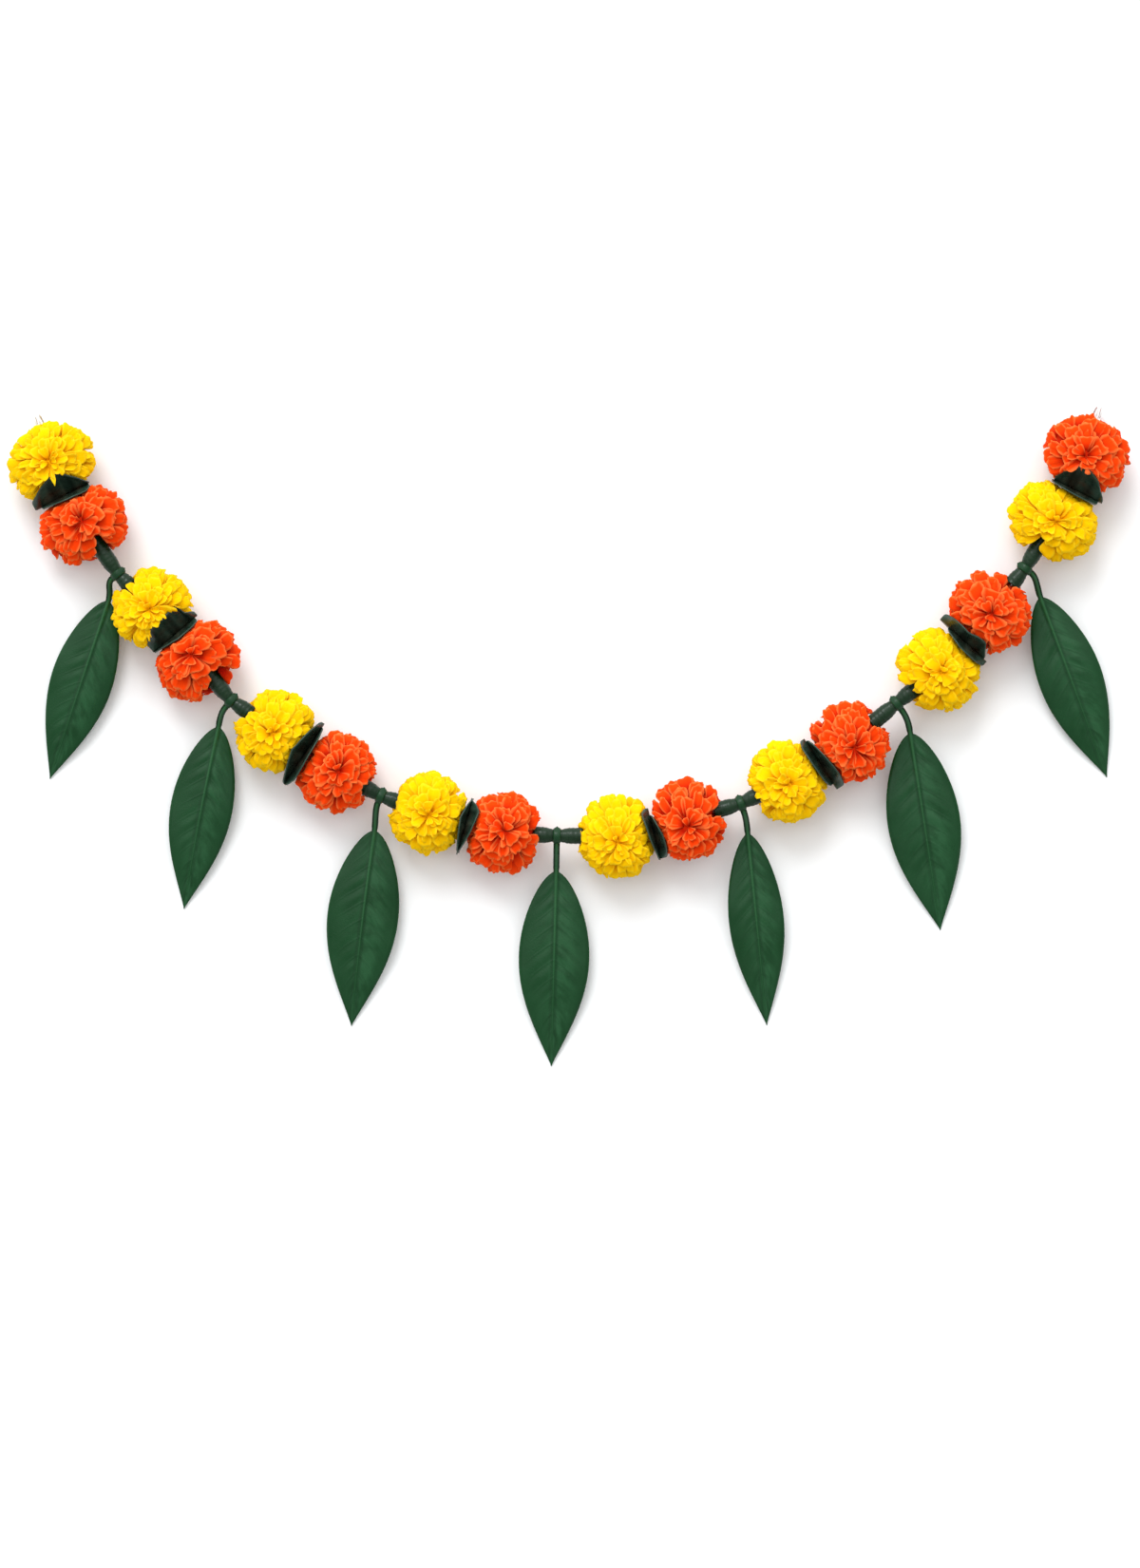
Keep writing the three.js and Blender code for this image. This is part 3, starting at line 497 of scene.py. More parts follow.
def leaf_material(name, face, vein):
    """Moulded satin leaf: pale midrib between dark lines of painted shade, side veins that curve to the tip
    with painted shade along them, lighter edge, painted sheen beside the midrib on the right half, and
    painted shade on the stalk's sides.
    """
    material, place = new_material(name)
    dark = scaled(face, 0.45)
    sheen = [channel * more for channel, more in zip(face, LEAF_SHEEN)]
    along, across, side = marks(place, "along", "across", "side")
    off, side = abs(across), abs(side)
    vein_place = along - off ** VEIN_CURVE * VEIN_LEAN
    # Side veins; their dark lines are painted shade in the valleys of the puckers.
    veins = abs(vein_place.sine(pi * SIDE_VEINS)).ramp(0.35, 0.0) * off.ramp(0.9, 0.3)
    line = add_node(place.tree, "CombineXYZ", [vein_place * 10.0, across, axis_of(place, 0) * 9.0])
    # Painted sheen: paler patches, strongest just beside the midrib on the lit right half, and weak patches
    # all over.
    sunny = across.ramp(-0.4, 0.3, 0.3, 1.15) * (off.ramp(0.02, 0.12) * off.ramp(0.98, 0.25))
    satin = mottle(line, 1.6, 0.0, 1.0) * sunny + mottle(place, 30.0, 0.0, 0.3)
    # Painted shade in the grooves that run beside the midrib.
    rib_groove_shade = side.ramp(0.9, 1.7) * side.ramp(3.4, 1.9)
    rib = (side / along.ramp(0.0, 0.8, 1.2, 0.4)).ramp(1.0, 0.35) * along.ramp(0.95, 0.0, 0.2, 0.6)
    # Painted shade on both sides of the rounded stalk; the same mask gives the band round the waist its own
    # darker green.
    stalk_shade_and_band_tint = along.ramp(0.02, -0.01) * side.ramp(0.5, 1.6)
    tint = layered(face, (satin, sheen), (veins * 0.08, dark), (rib_groove_shade * 0.3, dark), (rib, vein),
                   (edge(across, 0.95) * 0.5, vein), (stalk_shade_and_band_tint * 0.8, dark))
    relief = mottle(place, 900.0, 0.0, 0.35) + veins
    return finish_material(material, tint, mottle(place, 70.0, 0.27, 0.42), 0.22, relief, 0.1)


def tape_material(name, face):
    """Floral tape wound on the slant: fine overlapping turns with a painted highlight where they stand
    proud, and paler patches.
    """
    material, place = new_material(name)
    along, across = marks(place, "along", "across")
    turns = stripes(along + mottle(place, 150.0, -0.7, 0.7), across, 1.3, 0.65)
    # A painted highlight on the proud edge of each turn, and paler patches.
    tint = layered(face, (turns * 0.08 + mottle(place, 120.0, 0.0, 0.3), scaled(face, 1.9, 0.01)))
    return finish_material(material, tint, mottle(place, 260.0, 0.24, 0.38), 0.26, turns, 0.035)


def collar_material(name, face, fold):
    """Satin sepals: painted brown glints in patches towards the thread, painted sheen in pale patches, a
    painted highlight along the rounded edge, painted shade and light over the creases, and fine lengthwise
    veins.
    """
    material, place = new_material(name)
    pale = scaled(face, 2.1, 0.012)
    along, across, tone = marks(place, "along", "across", "tone")
    # Painted brown glints in patches towards the thread, then painted sheen in pale patches.
    satin = layered(face, (mottle(place, 62.0, 0.0, 1.0) * along.ramp(0.95, 0.5), fold),
                    (mottle(place, 105.0, 0.0, 0.55), pale))
    # A painted highlight along the rounded edge, over the tone that carries the painted shade and light of
    # the creases.
    tint = layered(toned(satin, tone), (along.ramp(0.9, 1.0, 0.0, 0.8), pale))
    return finish_material(material, tint, mottle(place, 120.0, 0.2, 0.42), 0.3,
                           stripes(across, along, 0.11, 0.0), 0.03)


def cotton_material(name, face):
    """Twisted cotton: soft slanted plies with darker lines of painted shade in the grooves between them."""
    material, place = new_material(name)
    x, y, z = [axis_of(place, axis) for axis in range(3)]
    plies = stripes(x + y + z, x, 0.0011, 0.5)
    tint = layered(scaled(face, 0.62), (plies * 0.75 + mottle(place, 900.0, 0.0, 0.3), face))
    return finish_material(material, tint, mottle(place, 500.0, 0.8, 0.95), relief=plies, depth=0.15)


def floor_material(name, face):
    """Matt pale floor with hardly visible clouds."""
    material, place = new_material(name)
    tint = toned(face, mottle(place, 3.0, 0.985, 1.0))
    return finish_material(material, tint, mottle(place, 12.0, 0.85, 0.95), 0.2)


# -------------------- meshes

def add_object(name, data):
    made = bpy.data.objects.new(name, data)
    bpy.context.collection.objects.link(made)
    return made


def linked(verts, kind):
    """The edges or faces that these vertices belong to, each one once and always in the same order."""
    return list(dict.fromkeys(item for vert in verts for item in getattr(vert, kind)))


class Shape:
    """A bmesh in millimetres with the four values that the materials read, made a piece at the end."""

    def __init__(self):
        self.mesh = bmesh.new()
        layers = self.mesh.verts.layers.float
        self.along, self.across, self.side, self.tone = [
            layers.new(name) for name in ("along", "across", "side", "tone")]

    def mark(self, vert, along, across=0.0, side=0.0, tone=1.0):
        vert[self.along], vert[self.across], vert[self.side], vert[self.tone] = along, across, side, tone

    def face_outwards(self, verts=None):
        """Turns the faces outwards: all of them, or only those of these vertices."""
        faces = linked(verts, "link_faces") if verts else self.mesh.faces
        bmesh.ops.recalc_face_normals(self.mesh, faces=faces)

    def face_along(self, line):
        """Turns every sheet drawn so far to the side that a line points to."""
        bm = self.mesh
        bm.normal_update()
        if sum(face.normal.dot(line) for face in bm.faces) < 0:
            bmesh.ops.reverse_faces(bm, faces=bm.faces)

    def thicken(self, thickness):
        """Gives every sheet drawn so far a wall below its upper face."""
        bm = self.mesh
        bm.normal_update()
        grown = bmesh.ops.extrude_face_region(bm, geom=bm.faces[:], use_keep_orig=True)["geom"]
        for vert in grown:
            if isinstance(vert, bmesh.types.BMVert):
                vert.co -= vert.normal * thickness
        self.face_outwards()

    def rings(self, segments, stations, close=True):
        """Rings of vertices joined into a tube. Each station puts a vertex in its place by its turn."""
        bm = self.mesh
        first = bmesh.ops.create_circle(bm, segments=segments, radius=1.0)["verts"]
        ring = sorted(first, key=lambda vert: atan2(vert.co.y, vert.co.x) % (2 * pi))
        turns = [atan2(vert.co.y, vert.co.x) for vert in ring]
        edges = linked(ring, "link_edges")
        made = []
        for number, station in enumerate(stations):
            if number:
                grown = bmesh.ops.extrude_edge_only(bm, edges=edges)["geom"]
                new = {item for item in grown if isinstance(item, bmesh.types.BMVert)}
                edges = [item for item in grown if isinstance(item, bmesh.types.BMEdge)
                         and all(vert in new for vert in item.verts)]
                ring = [next(item.other_vert(old) for item in old.link_edges if item.other_vert(old) in new)
                        for old in ring]
            for vert, turn in zip(ring, turns):
                station(vert, turn)
            made.append(ring)
        if close:
            for ring in (made[0], made[-1]):
                bmesh.ops.contextual_create(bm, geom=ring)
        self.face_outwards()

    def finished(self, name, material):
        """The object that the shape becomes, in metres."""
        bm = self.mesh
        bmesh.ops.scale(bm, vec=(MM, MM, MM), verts=bm.verts)
        for face in bm.faces:
            face.smooth = True
        data = bpy.data.meshes.new(name)
        bm.to_mesh(data)
        bm.free()
        data.materials.append(material)
        return add_object(name, data)

    def piece(self, name, material, slot, replaces):
        settle(self.finished(name, material), slot, replaces)


def settle(made, slot, replaces):
    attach(made, "root")
    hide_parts(*replaces)


# -------------------- collars

def collar_side(index, across):
    """How far a collar reaches to the side of the thread that a place across it is on."""
    edge = COLLAR_EDGES[index]
    return edge[-1][0] if across > 0 else -edge[0][0]


def collar_reach(index, turn):
    """How far the edge of a collar is from the thread at a turn round it."""
    across, rise = cos(turn), sin(turn)
    notch = COLLAR_NOTCH[0] if rise > 0 else COLLAR_NOTCH[1]
    reach = 1 / hypot(across / collar_side(index, across), rise / COLLAR_RADIUS)
    return reach * (1 - notch * (1 - abs(cos(3 * turn))))


def collar_lean(index, across, rise):
    """How far a collar leans over its own bloom at a place beside and above or below the thread."""
    if rise <= 0:
        return -COLLAR_LEAN_BELOW * rise / COLLAR_RADIUS
    edge = COLLAR_EDGES[index]
    across = min(max(across, edge[0][0]), edge[-1][0])
    place = min(max(bisect.bisect_right([x for x, _ in edge], across), 1), len(edge) - 1)
    (x0, lean0), (x1, lean1) = edge[place - 1], edge[place]
    lean = lean0 + (lean1 - lean0) * (across - x0) / (x1 - x0)
    crest = COLLAR_RADIUS * sqrt(max(1 - (across / collar_side(index, across)) ** 2, 0.0))
    shut = COLLAR_SHUT[index // 2]
    return lean * min(max(rise - shut, 0.0) / max(crest + 1.0 - shut, 1.0), 1.0)


def collar_clearance(index, across, rise):
    """How far from the middle of the pair a petal has to stay to clear its collar, or the other bloom."""
    share = hypot(across, rise) / collar_reach(index, atan2(rise, across))
    over = 1 - smooth(1.0, 1.1, share)
    return 0.3 + (COLLAR_THICKNESS + collar_lean(index, across, rise)) * over


def make_collar(index, material):
    here, there = bloom_place(index), bloom_place(partner_of(index))
    middle = (here + there) / 2
    own = (here - there).normalized()
    left = left_of(own) if index % 2 else -left_of(own)
    phase = random.Random(COLLAR_SEED + index).uniform(0, 6.28)
    shape = Shape()

    def station(share):
        def put(vert, turn):
            reach = collar_reach(index, turn) * share
            across, rise = reach * cos(turn), reach * sin(turn)
            lean = collar_lean(index, across, rise) * smooth(-4, 5, rise)
            ripple = 0.7 * cos(across * 0.5 + phase) + 0.4 * cos(across * 1.2 + 2 * phase)
            crease = ripple * smooth(0, 5, lean) * (1 - share ** 6)
            spot = middle + left * across + own * (COLLAR_THICKNESS + lean + crease)
            vert.co = raised(spot, THREAD_HEIGHT + rise)
            # The tone follows the ripple of the creases, so that they carry painted shade and painted light.
            shape.mark(vert, share, across / 10, 0.0, 1.0 + 0.6 * ripple)
        return put

    hole = COLLAR_HOLE_RADIUS / COLLAR_RADIUS
    shares = [hole, 0.15, 0.3, 0.45, 0.58, 0.7, 0.8, 0.88, 0.94, 0.98, 1.0]
    shape.rings(72, [station(share) for share in shares], close=False)
    shape.face_along(own)
    shape.thicken(COLLAR_THICKNESS)
    shape.piece(f"sepals_{index + 1:02d}", material, "collar_plastic", [f"collar_{index + 1:02d}"])


# -------------------- blooms

class Bloom:
    """Places points of a bloom, and bends them clear of its collar and of its sleeve or end thread."""

    def __init__(self, index):
        self.index = index
        self.here, there = bloom_place(index), bloom_place(partner_of(index))
        self.toward = (there - self.here).normalized()
        self.left = left_of(self.toward)
        self.half_pair = (there - self.here).length / 2
        self.flip = 1 if index % 2 == 0 else -1
        self.is_end = index in END_BLOOMS
        if self.is_end:
            onward = flat(*THREAD_EXITS[END_BLOOMS.index(index)])
            self.part_from, self.part_width = END_HOLE
        else:
            k = (index - 1) // 2
            onward = waist_place(k)
            self.part_from = SLEEVES[k][2 if index % 2 else 3]
            self.part_width = SLEEVE_END_RADIUS + 0.5
        self.out = self.seen_from_here((onward - self.here).normalized())
        self.radius = BLOOMS[index][2]
        self.face = self.seen_from_here(Vector((*BLOOMS[index][3:], 0)))
        self.pressed = 0.0  # the furthest that a point of the last petal was pressed aside

    def seen_from_here(self, line):
        return Vector((line.dot(self.toward), line.dot(self.left)))

    def on_ball(self, direction, share):
        """A point of the ball in the bloom's own axes: towards its partner, to the left, and up."""
        lift = max(direction.z, 0.0)
        return Vector((
            BLOOM_ALONG * share * direction.x + self.face.x * lift,
            self.radius * share * direction.y + self.face.y * lift,
            BLOOM_CENTRE_HEIGHT + BLOOM_RISE * share * direction.z,
        ))

    def along_sleeve(self, point):
        """How far a point is from the bloom's centre along the sleeve, and how far to its left."""
        return point.x * self.out.x + point.y * self.out.y, self.out.x * point.y - self.out.y * point.x

    def side_of_sleeve(self, point):
        return 1 if self.along_sleeve(point)[1] >= 0 else -1

    def is_on_sleeve(self, tip):
        """Whether a petal that ends at this tip would lie along the sleeve or run into it."""
        run, off = self.along_sleeve(tip)
        is_above = tip.z > THREAD_HEIGHT - self.part_width - 1.5
        is_over = run > self.part_from + 2 and abs(off) < self.part_width * 0.85
        return is_above and is_over and not self.is_end

    def swerve(self, tip):
        """How far round the bloom a petal beside the sleeve is turned, so that it stands next to it."""
        run, off = self.along_sleeve(tip)
        if self.is_end or run < self.part_from or abs(tip.z - THREAD_HEIGHT) > self.part_width + 3:
            return 0.0
        return copysign(max(self.part_width + 2.6 - abs(off), 0.0) / run, off)

    def bend(self, point, side, is_over):
        """The same point in the model, once everything hard has pressed it aside."""
        point = point.copy()
        clear = collar_clearance(self.index, self.flip * point.y, point.z - THREAD_HEIGHT)
        point.x = self.half_pair - cushioned(self.half_pair - point.x, clear, SOFT_DEPTH)
        run, off = self.along_sleeve(point)
        off, rise = side * off, point.z - THREAD_HEIGHT
        free_off, free_rise = off, rise
        width, wide = self.part_width, self.part_width + SLEEVE_SPREAD
        part = smooth(self.part_from - 2.5, self.part_from - 0.5, run)
        if self.is_end:
            near = max(hypot(off, rise), 0.1)
            if part > 0 and near < width:
                off, rise = off * width / near, rise * width / near
        else:
            part *= smooth(width + 3.5, width + 1.0, rise)
            if part > 0 and is_over and off < wide:
                pushed = width + max(off + width, 0.0) * (wide - width) / (wide + width)
                off += (pushed - off) * part
            elif part > 0 and abs(off) < width:
                rise = min(rise, -sqrt(width * width - off * off) * part)
            self.pressed = max(self.pressed, hypot(off - free_off, rise - free_rise))
        point.z = THREAD_HEIGHT + rise
        bed_from, bed_to, bed_width, bed_height = LOOP_BED
        if self.is_end and run > bed_from and abs(off) < bed_width:
            point.z = max(point.z, bed_height * smooth(bed_from, bed_to, run))
        off *= side
        point.x, point.y = run * self.out.x - off * self.out.y, run * self.out.y + off * self.out.x
        spot = self.here + self.toward * point.x + self.left * point.y
        return raised(spot, cushioned(point.z, FLOOR_GAP, FLOOR_GIVE))


def ball_direction(polar, turn):
    return Vector((sin(polar) * cos(turn), sin(polar) * sin(turn), cos(polar)))


def grow_petal(shape, bloom, draw, habit, polar, turn):
    """One petal: a trough that starts narrow at its root and opens to a round, ruffled spoon."""
    slope = degrees(polar)
    outer, inner, near = smooth(15, 85, slope), smooth(30, 12, slope), smooth(42, 14, slope)
    half_width = between(habit["broad"], habit["slender"], outer) / BALL_RADIUS * draw.uniform(0.65, 1.3)
    half_width *= 1 - 0.5 * inner
    tip_share = 1.02 - habit["ragged"] * draw.random()
    cup = habit["cup"] * draw.uniform(0.5, 1.3) * (1.7 - 1.95 * outer)
    lip = habit["lip"] * draw.uniform(-0.8, 1.6) + inner * draw.uniform(-0.05, 0.04)
    roll, skew = draw.uniform(-0.085, 0.085), draw.uniform(-0.22, 0.22)
    fold, fold_at = habit["fold"] * draw.uniform(0.4, 1.4), draw.uniform(-1, 1)
    tone = draw.uniform(0.95, 1.04)
    reach = min(radians(PETAL_REACH) * draw.uniform(0.85, 1.1), polar * draw.uniform(0.75, 0.98))
    root_share = between(PETAL_ROOT, HEART_ROOT, near)
    narrow = 0.16 + 0.3 * outer
    tip = bloom.on_ball(ball_direction(polar, turn), 1.0)
    if bloom.is_on_sleeve(tip):
        return
    turn += bloom.swerve(tip)
    side = bloom.side_of_sleeve(tip)
    is_over = tip.z > THREAD_HEIGHT + 1
    rows = len(PETAL_STOPS) - 1
    bloom.pressed = 0.0
    grid = bmesh.ops.create_grid(shape.mesh, x_segments=PETAL_COLUMNS, y_segments=rows, size=1.0)
    for vert in grid["verts"]:
        u, v = vert.co.x, PETAL_STOPS[round((vert.co.y + 1) / 2 * rows)]
        t = max(v - PETAL_WAIST, 0.0) / (1 - PETAL_WAIST)
        x = u * sqrt(1 - 0.36 * t * t)
        if t > 0:
            v = PETAL_WAIST + (1 - PETAL_WAIST) * t * sqrt(1 - 0.45 * abs(u) ** 2.5)
        frill = cos(pi * habit["folds"] * (x - fold_at))
        if t == 1.0 or abs(u) > 0.99:
            v -= habit["serrated"] * draw.random() * t
            x *= 1 + 0.06 * draw.uniform(-1, 1)
        opening = between(narrow, 1, smooth(0.0, 0.62, v))
        azimuth = turn + skew * v
        sideways = Vector((-sin(azimuth), cos(azimuth), 0))
        bearing = ball_direction(polar - reach * (1 - v), azimuth) + sideways * x * half_width * opening
        share = root_share + (tip_share - root_share) * (0.75 * sin(pi / 2 * v) + 0.25 * v * v)
        share += cup * (abs(x) ** 1.8 - 0.3) * smooth(0.0, 0.75, v) + roll * x * v + lip * t * t
        share += fold * (1 - 0.35 * outer) * frill * v * v
        vert.co = bloom.bend(bloom.on_ball(bearing.normalized(), share), side, is_over)
        # The innermost petals are marked further along, so that they carry less of the painted root shade.
        shape.mark(vert, v + (1 - v) * 0.3 * near, u, 0.0, tone)
    if bloom.pressed > PETAL_GIVE:
        bmesh.ops.delete(shape.mesh, geom=grid["verts"], context="VERTS")


def make_bloom(index, material, thickness):
    habit, draw = HABITS[index % 2], random.Random(BLOOM_SEED + index)
    bloom, shape = Bloom(index), Shape()
    start = draw.uniform(0, 2 * pi)
    high, low = cos(radians(habit["first"])), cos(radians(habit["last"]))
    for number in range(habit["petals"]):
        polar = acos(high + (low - high) * (number + 0.5) / habit["petals"])
        polar += radians(habit["unruly"]) * draw.uniform(-1, 1) * smooth(5, 40, degrees(polar))
        turn = start + GOLDEN_TURN * number + draw.uniform(-0.18, 0.18) / sin(polar)
        grow_petal(shape, bloom, draw, habit, polar, turn)
    shape.thicken(thickness / MM)
    core = bmesh.ops.create_icosphere(shape.mesh, subdivisions=3, radius=1.0)["verts"]
    for vert in core:
        point = bloom.on_ball(vert.co.normalized(), CORE_SHARE)
        run, off = bloom.along_sleeve(point)
        if run > bloom.part_from - 3.5 and abs(off) < bloom.part_width + 2.5:
            point.z = min(point.z, THREAD_HEIGHT - bloom.part_width - 0.3)
        vert.co = bloom.bend(point, bloom.side_of_sleeve(point), False)
        # The core is marked part of the way along and toned a little darker, so it carries painted shade
        # like the petals' roots.
        shape.mark(vert, 0.4, 0.0, 0.0, 0.95)
    shape.face_outwards(core)
    shape.piece(f"petals_{index + 1:02d}", material, habit["slot"], [f"bloom_{index + 1:02d}"])


# -------------------- sleeves

def make_sleeve(k, material):
    waist = waist_place(k)
    ends = [bloom_place(2 * k + 1), bloom_place(2 * k + 2)]
    lines = [(end - waist).normalized() for end in ends]
    lengths = [(end - waist).length - part + SLEEVE_TUCK for end, part in zip(ends, SLEEVES[k][2:])]
    onward = (lines[1] - lines[0]).normalized()
    draw = random.Random(SLEEVE_SEED + k)
    start = draw.uniform(0, 2 * pi)

    def station(run, inner=None):
        """A ring of the tape at a run from the waist, or one of this radius inside its end."""
        way = 1 if run > 0 else -1
        line, length, far = lines[way > 0], lengths[way > 0], abs(run)
        straight = smooth(0.0, 4.0, far)
        axis = (onward * (1 - straight) + line * way * straight).normalized()
        across, centre = left_of(axis), waist + line * far
        radius = between(SLEEVE_WAIST_RADIUS, SLEEVE_END_RADIUS, smooth(0, SLEEVE_TAPER, far))
        radius += 0.035 * draw.uniform(-1, 1)
        radius += 0.3 * smooth(length - 1.6, length, far)
        step = TAPE_STEP * smooth(length, length - 1.5, far)
        if inner is not None:
            radius, step = inner, 0.0

        def put(vert, turn):
            lap = (run / TAPE_PITCH + turn / (2 * pi) + 0.1 * sin(2 * turn + start)) % 1.0
            oval = radius * (1 + 0.03 * cos(2 * turn)) + step * (lap - 0.5)
            vert.co = raised(centre + across * oval * cos(turn), THREAD_HEIGHT + oval * sin(turn))
            shape.mark(vert, run, turn / pi)
        return put

    whole = lengths[0] + lengths[1]
    steps = round(whole / SLEEVE_STEP)
    runs = [-lengths[0] + whole * step / steps for step in range(steps + 1)]
    mouth, throat = SLEEVE_END_RADIUS - 0.9, 2.6
    stations = [station(runs[0] + 2.5, throat), station(runs[0], mouth)]
    stations += [station(run) for run in runs]
    stations += [station(runs[-1], mouth), station(runs[-1] - 2.5, throat)]
    shape = Shape()
    shape.rings(28, stations)
    shape.piece(f"sleeve_tape_{k + 1}", material, "sleeve_tape", [f"sleeve_{k + 1}"])


# -------------------- leaves

def ridge(off, width):
    """A soft ridge that is 1 high in its middle and fades out over a width."""
    return exp(-(off / width) ** 2)


def blade_fullness(t):
    """Width of a blade as a share of its widest, from its base at 0 to its tip at 1."""
    return sin(pi * t ** 0.85) ** (0.72 + 0.33 * t) if 0 < t < 1 else 0.0


def add_waist_wrap(shape, waist, line, aside):
    """The band wound round the waist that holds the stalk, with a small knob on its far side."""
    across = left_of(line)
    knob = atan2(0.35, -aside.dot(across))

    def point(around, turn):
        width, height = WRAP_HALF_WIDTH * cos(around), sin(around)
        bulge = 0.85 + 0.2 * cos(3.3 * pi * width / WRAP_HALF_WIDTH)
        radius = WRAP_RADIUS + bulge * height * (1 if height > 0 else 0.4)
        from_knob = (turn - knob + pi) % (2 * pi) - pi
        radius += 1.3 * exp(-from_knob ** 2 / 0.05 - (width / 1.6) ** 2) * max(height, 0)
        spot = waist + line * width + across * radius * cos(turn)
        return raised(spot, THREAD_HEIGHT + radius * sin(turn))

    bm = shape.mesh
    profile = bmesh.ops.create_circle(bm, segments=18, radius=1.0)["verts"]
    for vert in profile:
        around = atan2(vert.co.y, vert.co.x)
        vert.co = (0, WRAP_SPIN + sin(around), cos(around))
    before = set(bm.verts)
    bmesh.ops.spin(bm, geom=profile + linked(profile, "link_edges"), cent=(0, 0, 0), axis=(0, 0, 1),
                   angle=2 * pi, steps=40, use_merge=True)
    ring = list(profile) + [vert for vert in bm.verts if vert not in before]
    for vert in ring:
        around = atan2(hypot(vert.co.x, vert.co.y) - WRAP_SPIN, vert.co.z)
        vert.co = point(around, atan2(vert.co.y, vert.co.x))
        # Marked like the stalk's sides, so that the band takes their darker green.
        shape.mark(vert, -0.02, 0.3, 1.2)
    shape.face_outwards(ring)


def make_leaf(k, material, thickness):
    base_x, base_y, tip_x, tip_y, width, bow = LEAVES[k]
    waist = waist_place(k)
    thread_line = (bloom_place(2 * k + 2) - bloom_place(2 * k + 1)).normalized()
    aside = -left_of(thread_line)
    base, tip = flat(base_x, base_y, BLADE_BASE_HEIGHT), flat(tip_x, tip_y, BLADE_TIP_HEIGHT)
    blade_line = raised(tip - base, 0).normalized()
    blade_side = left_of(blade_line)
    pulls = [
        waist + aside * STALK_START,
        waist + aside * (STALK_START + STALK_START_PULL),
        flat(base_x, base_y, BLADE_BASE_HEIGHT + STALK_END_RISE) - blade_line * STALK_END_PULL,
        base,
    ]
    draw = random.Random(LEAF_SEED + k)
    wave_phase = [draw.uniform(0, 6.28) for _ in range(2)]

    def stalk(t):
        """A point of the stalk's midline, and the way across it."""
        s = 1 - t
        spot = pulls[0] * s ** 3 + pulls[1] * 3 * s * s * t + pulls[2] * 3 * s * t * t + pulls[3] * t ** 3
        steps = [after - before for before, after in zip(pulls, pulls[1:])]
        line = steps[0] * s * s + steps[1] * 2 * s * t + steps[2] * t * t
        return spot, left_of(raised(line, 0).normalized())

    def surface(row, u):
        """A point of the upper face by its row and its place from -1 to 1 across, and its marks."""
        if row < STALK_ROWS:
            spot, side = stalk(row / STALK_ROWS)
            off = u * STALK_WIDTH / 2
            spot = spot + side * off
            spot.z += STALK_THICKNESS / 2 + (0.75 * ridge(off, 0.8) + 0.25 * (abs(u) > 0.9))
            return spot, -0.02, u, off
        t = (row - STALK_ROWS) / BLADE_ROWS
        t = t ** (1.25 - 0.25 * t)
        fullness, opened = blade_fullness(t), smooth(0, 0.06, t)
        least = between(STALK_WIDTH, BLADE_TIP_WIDTH, smooth(0.0, 0.08, t))
        u = between(u, copysign(abs(u) ** 1.7, u), opened)
        off = u * max(least, width * fullness) / 2
        spot = base.lerp(tip, t) + blade_side * (bow * sin(pi * t) + off)
        spot.z += BLADE_ARCH * sin(pi * t) - BLADE_DROOP * fullness * abs(u) ** BLADE_FOLD
        spot.z += STALK_THICKNESS / 2 * (1 - smooth(0, 0.1, t))
        rib = (0.7 - 0.55 * t) * ridge(off, 1.15 - 0.6 * t)
        groove = 0.3 * ridge(abs(off) - 2.4, 0.9) * opened * (1 - t)
        phase, place = wave_phase[0 if u > 0 else 1], t - VEIN_LEAN * abs(u) ** VEIN_CURVE
        inside = smooth(0.03, 0.2, abs(u)) * (1 - 0.85 * smooth(0.3, 0.8, abs(u)))
        uneven = 0.6 + 0.5 * sin(17 * place + phase)
        puckers = 0.34 * uneven * cos(2 * pi * SIDE_VEINS * place) * inside * opened
        waves = 0.9 * sin(2 * pi * 2.2 * t + phase) * abs(u) ** 3 * fullness
        spot.z += (rib - groove - puckers + waves) * smooth(1.0, 0.93, t)
        spot.z = max(spot.z, BLADE_TIP_HEIGHT)
        return spot, t, u, off

    shape = Shape()
    rows = STALK_ROWS + BLADE_ROWS
    grid = bmesh.ops.create_grid(shape.mesh, x_segments=BLADE_COLUMNS, y_segments=rows, size=1.0)
    for vert in grid["verts"]:
        vert.co, *values = surface(round((vert.co.y + 1) / 2 * rows), -vert.co.x)
        shape.mark(vert, *values)
    shape.face_along(Vector((0, 0, 1)))
    shape.thicken(thickness / MM)
    add_waist_wrap(shape, waist, thread_line, aside)
    shape.piece(f"mango_leaf_{k + 1}", material, "leaf_plastic", [f"leaf_{k + 1}"])


# -------------------- thread, knots and end loops

def way_out(end):
    """The way that the thread leaves the first or the last bloom."""
    return (flat(*THREAD_EXITS[end]) - bloom_place(END_BLOOMS[end])).normalized()


def knot_place(end):
    return bloom_place(END_BLOOMS[end]) + way_out(end) * KNOT_REACH


def make_loop(end, material):
    bloom, outward = bloom_place(END_BLOOMS[end]), way_out(end)
    aside = left_of(outward)

    def strand(side):
        return [raised(bloom + outward * reach + aside * side * apart / 2, height)
                for reach, apart, height in LOOP_STRAND]

    stops = strand(1) + strand(-1)[-2::-1]
    curve = bpy.data.curves.new(f"end_loop_{SIDES[end]}", "CURVE")
    curve.dimensions = "3D"
    curve.bevel_depth = LOOP_DIAMETER / 2 * MM
    curve.bevel_resolution = 3
    curve.resolution_u = 6
    curve.use_fill_caps = True
    spline = curve.splines.new("BEZIER")
    spline.bezier_points.add(len(stops) - 1)
    for point, stop in zip(spline.bezier_points, stops):
        point.co = stop * MM
        point.handle_left_type = point.handle_right_type = "AUTO"
    curve.materials.append(material)
    made = add_object(curve.name, curve)
    settle(made, "thread_cotton", [f"loop_{SIDES[end]}"])


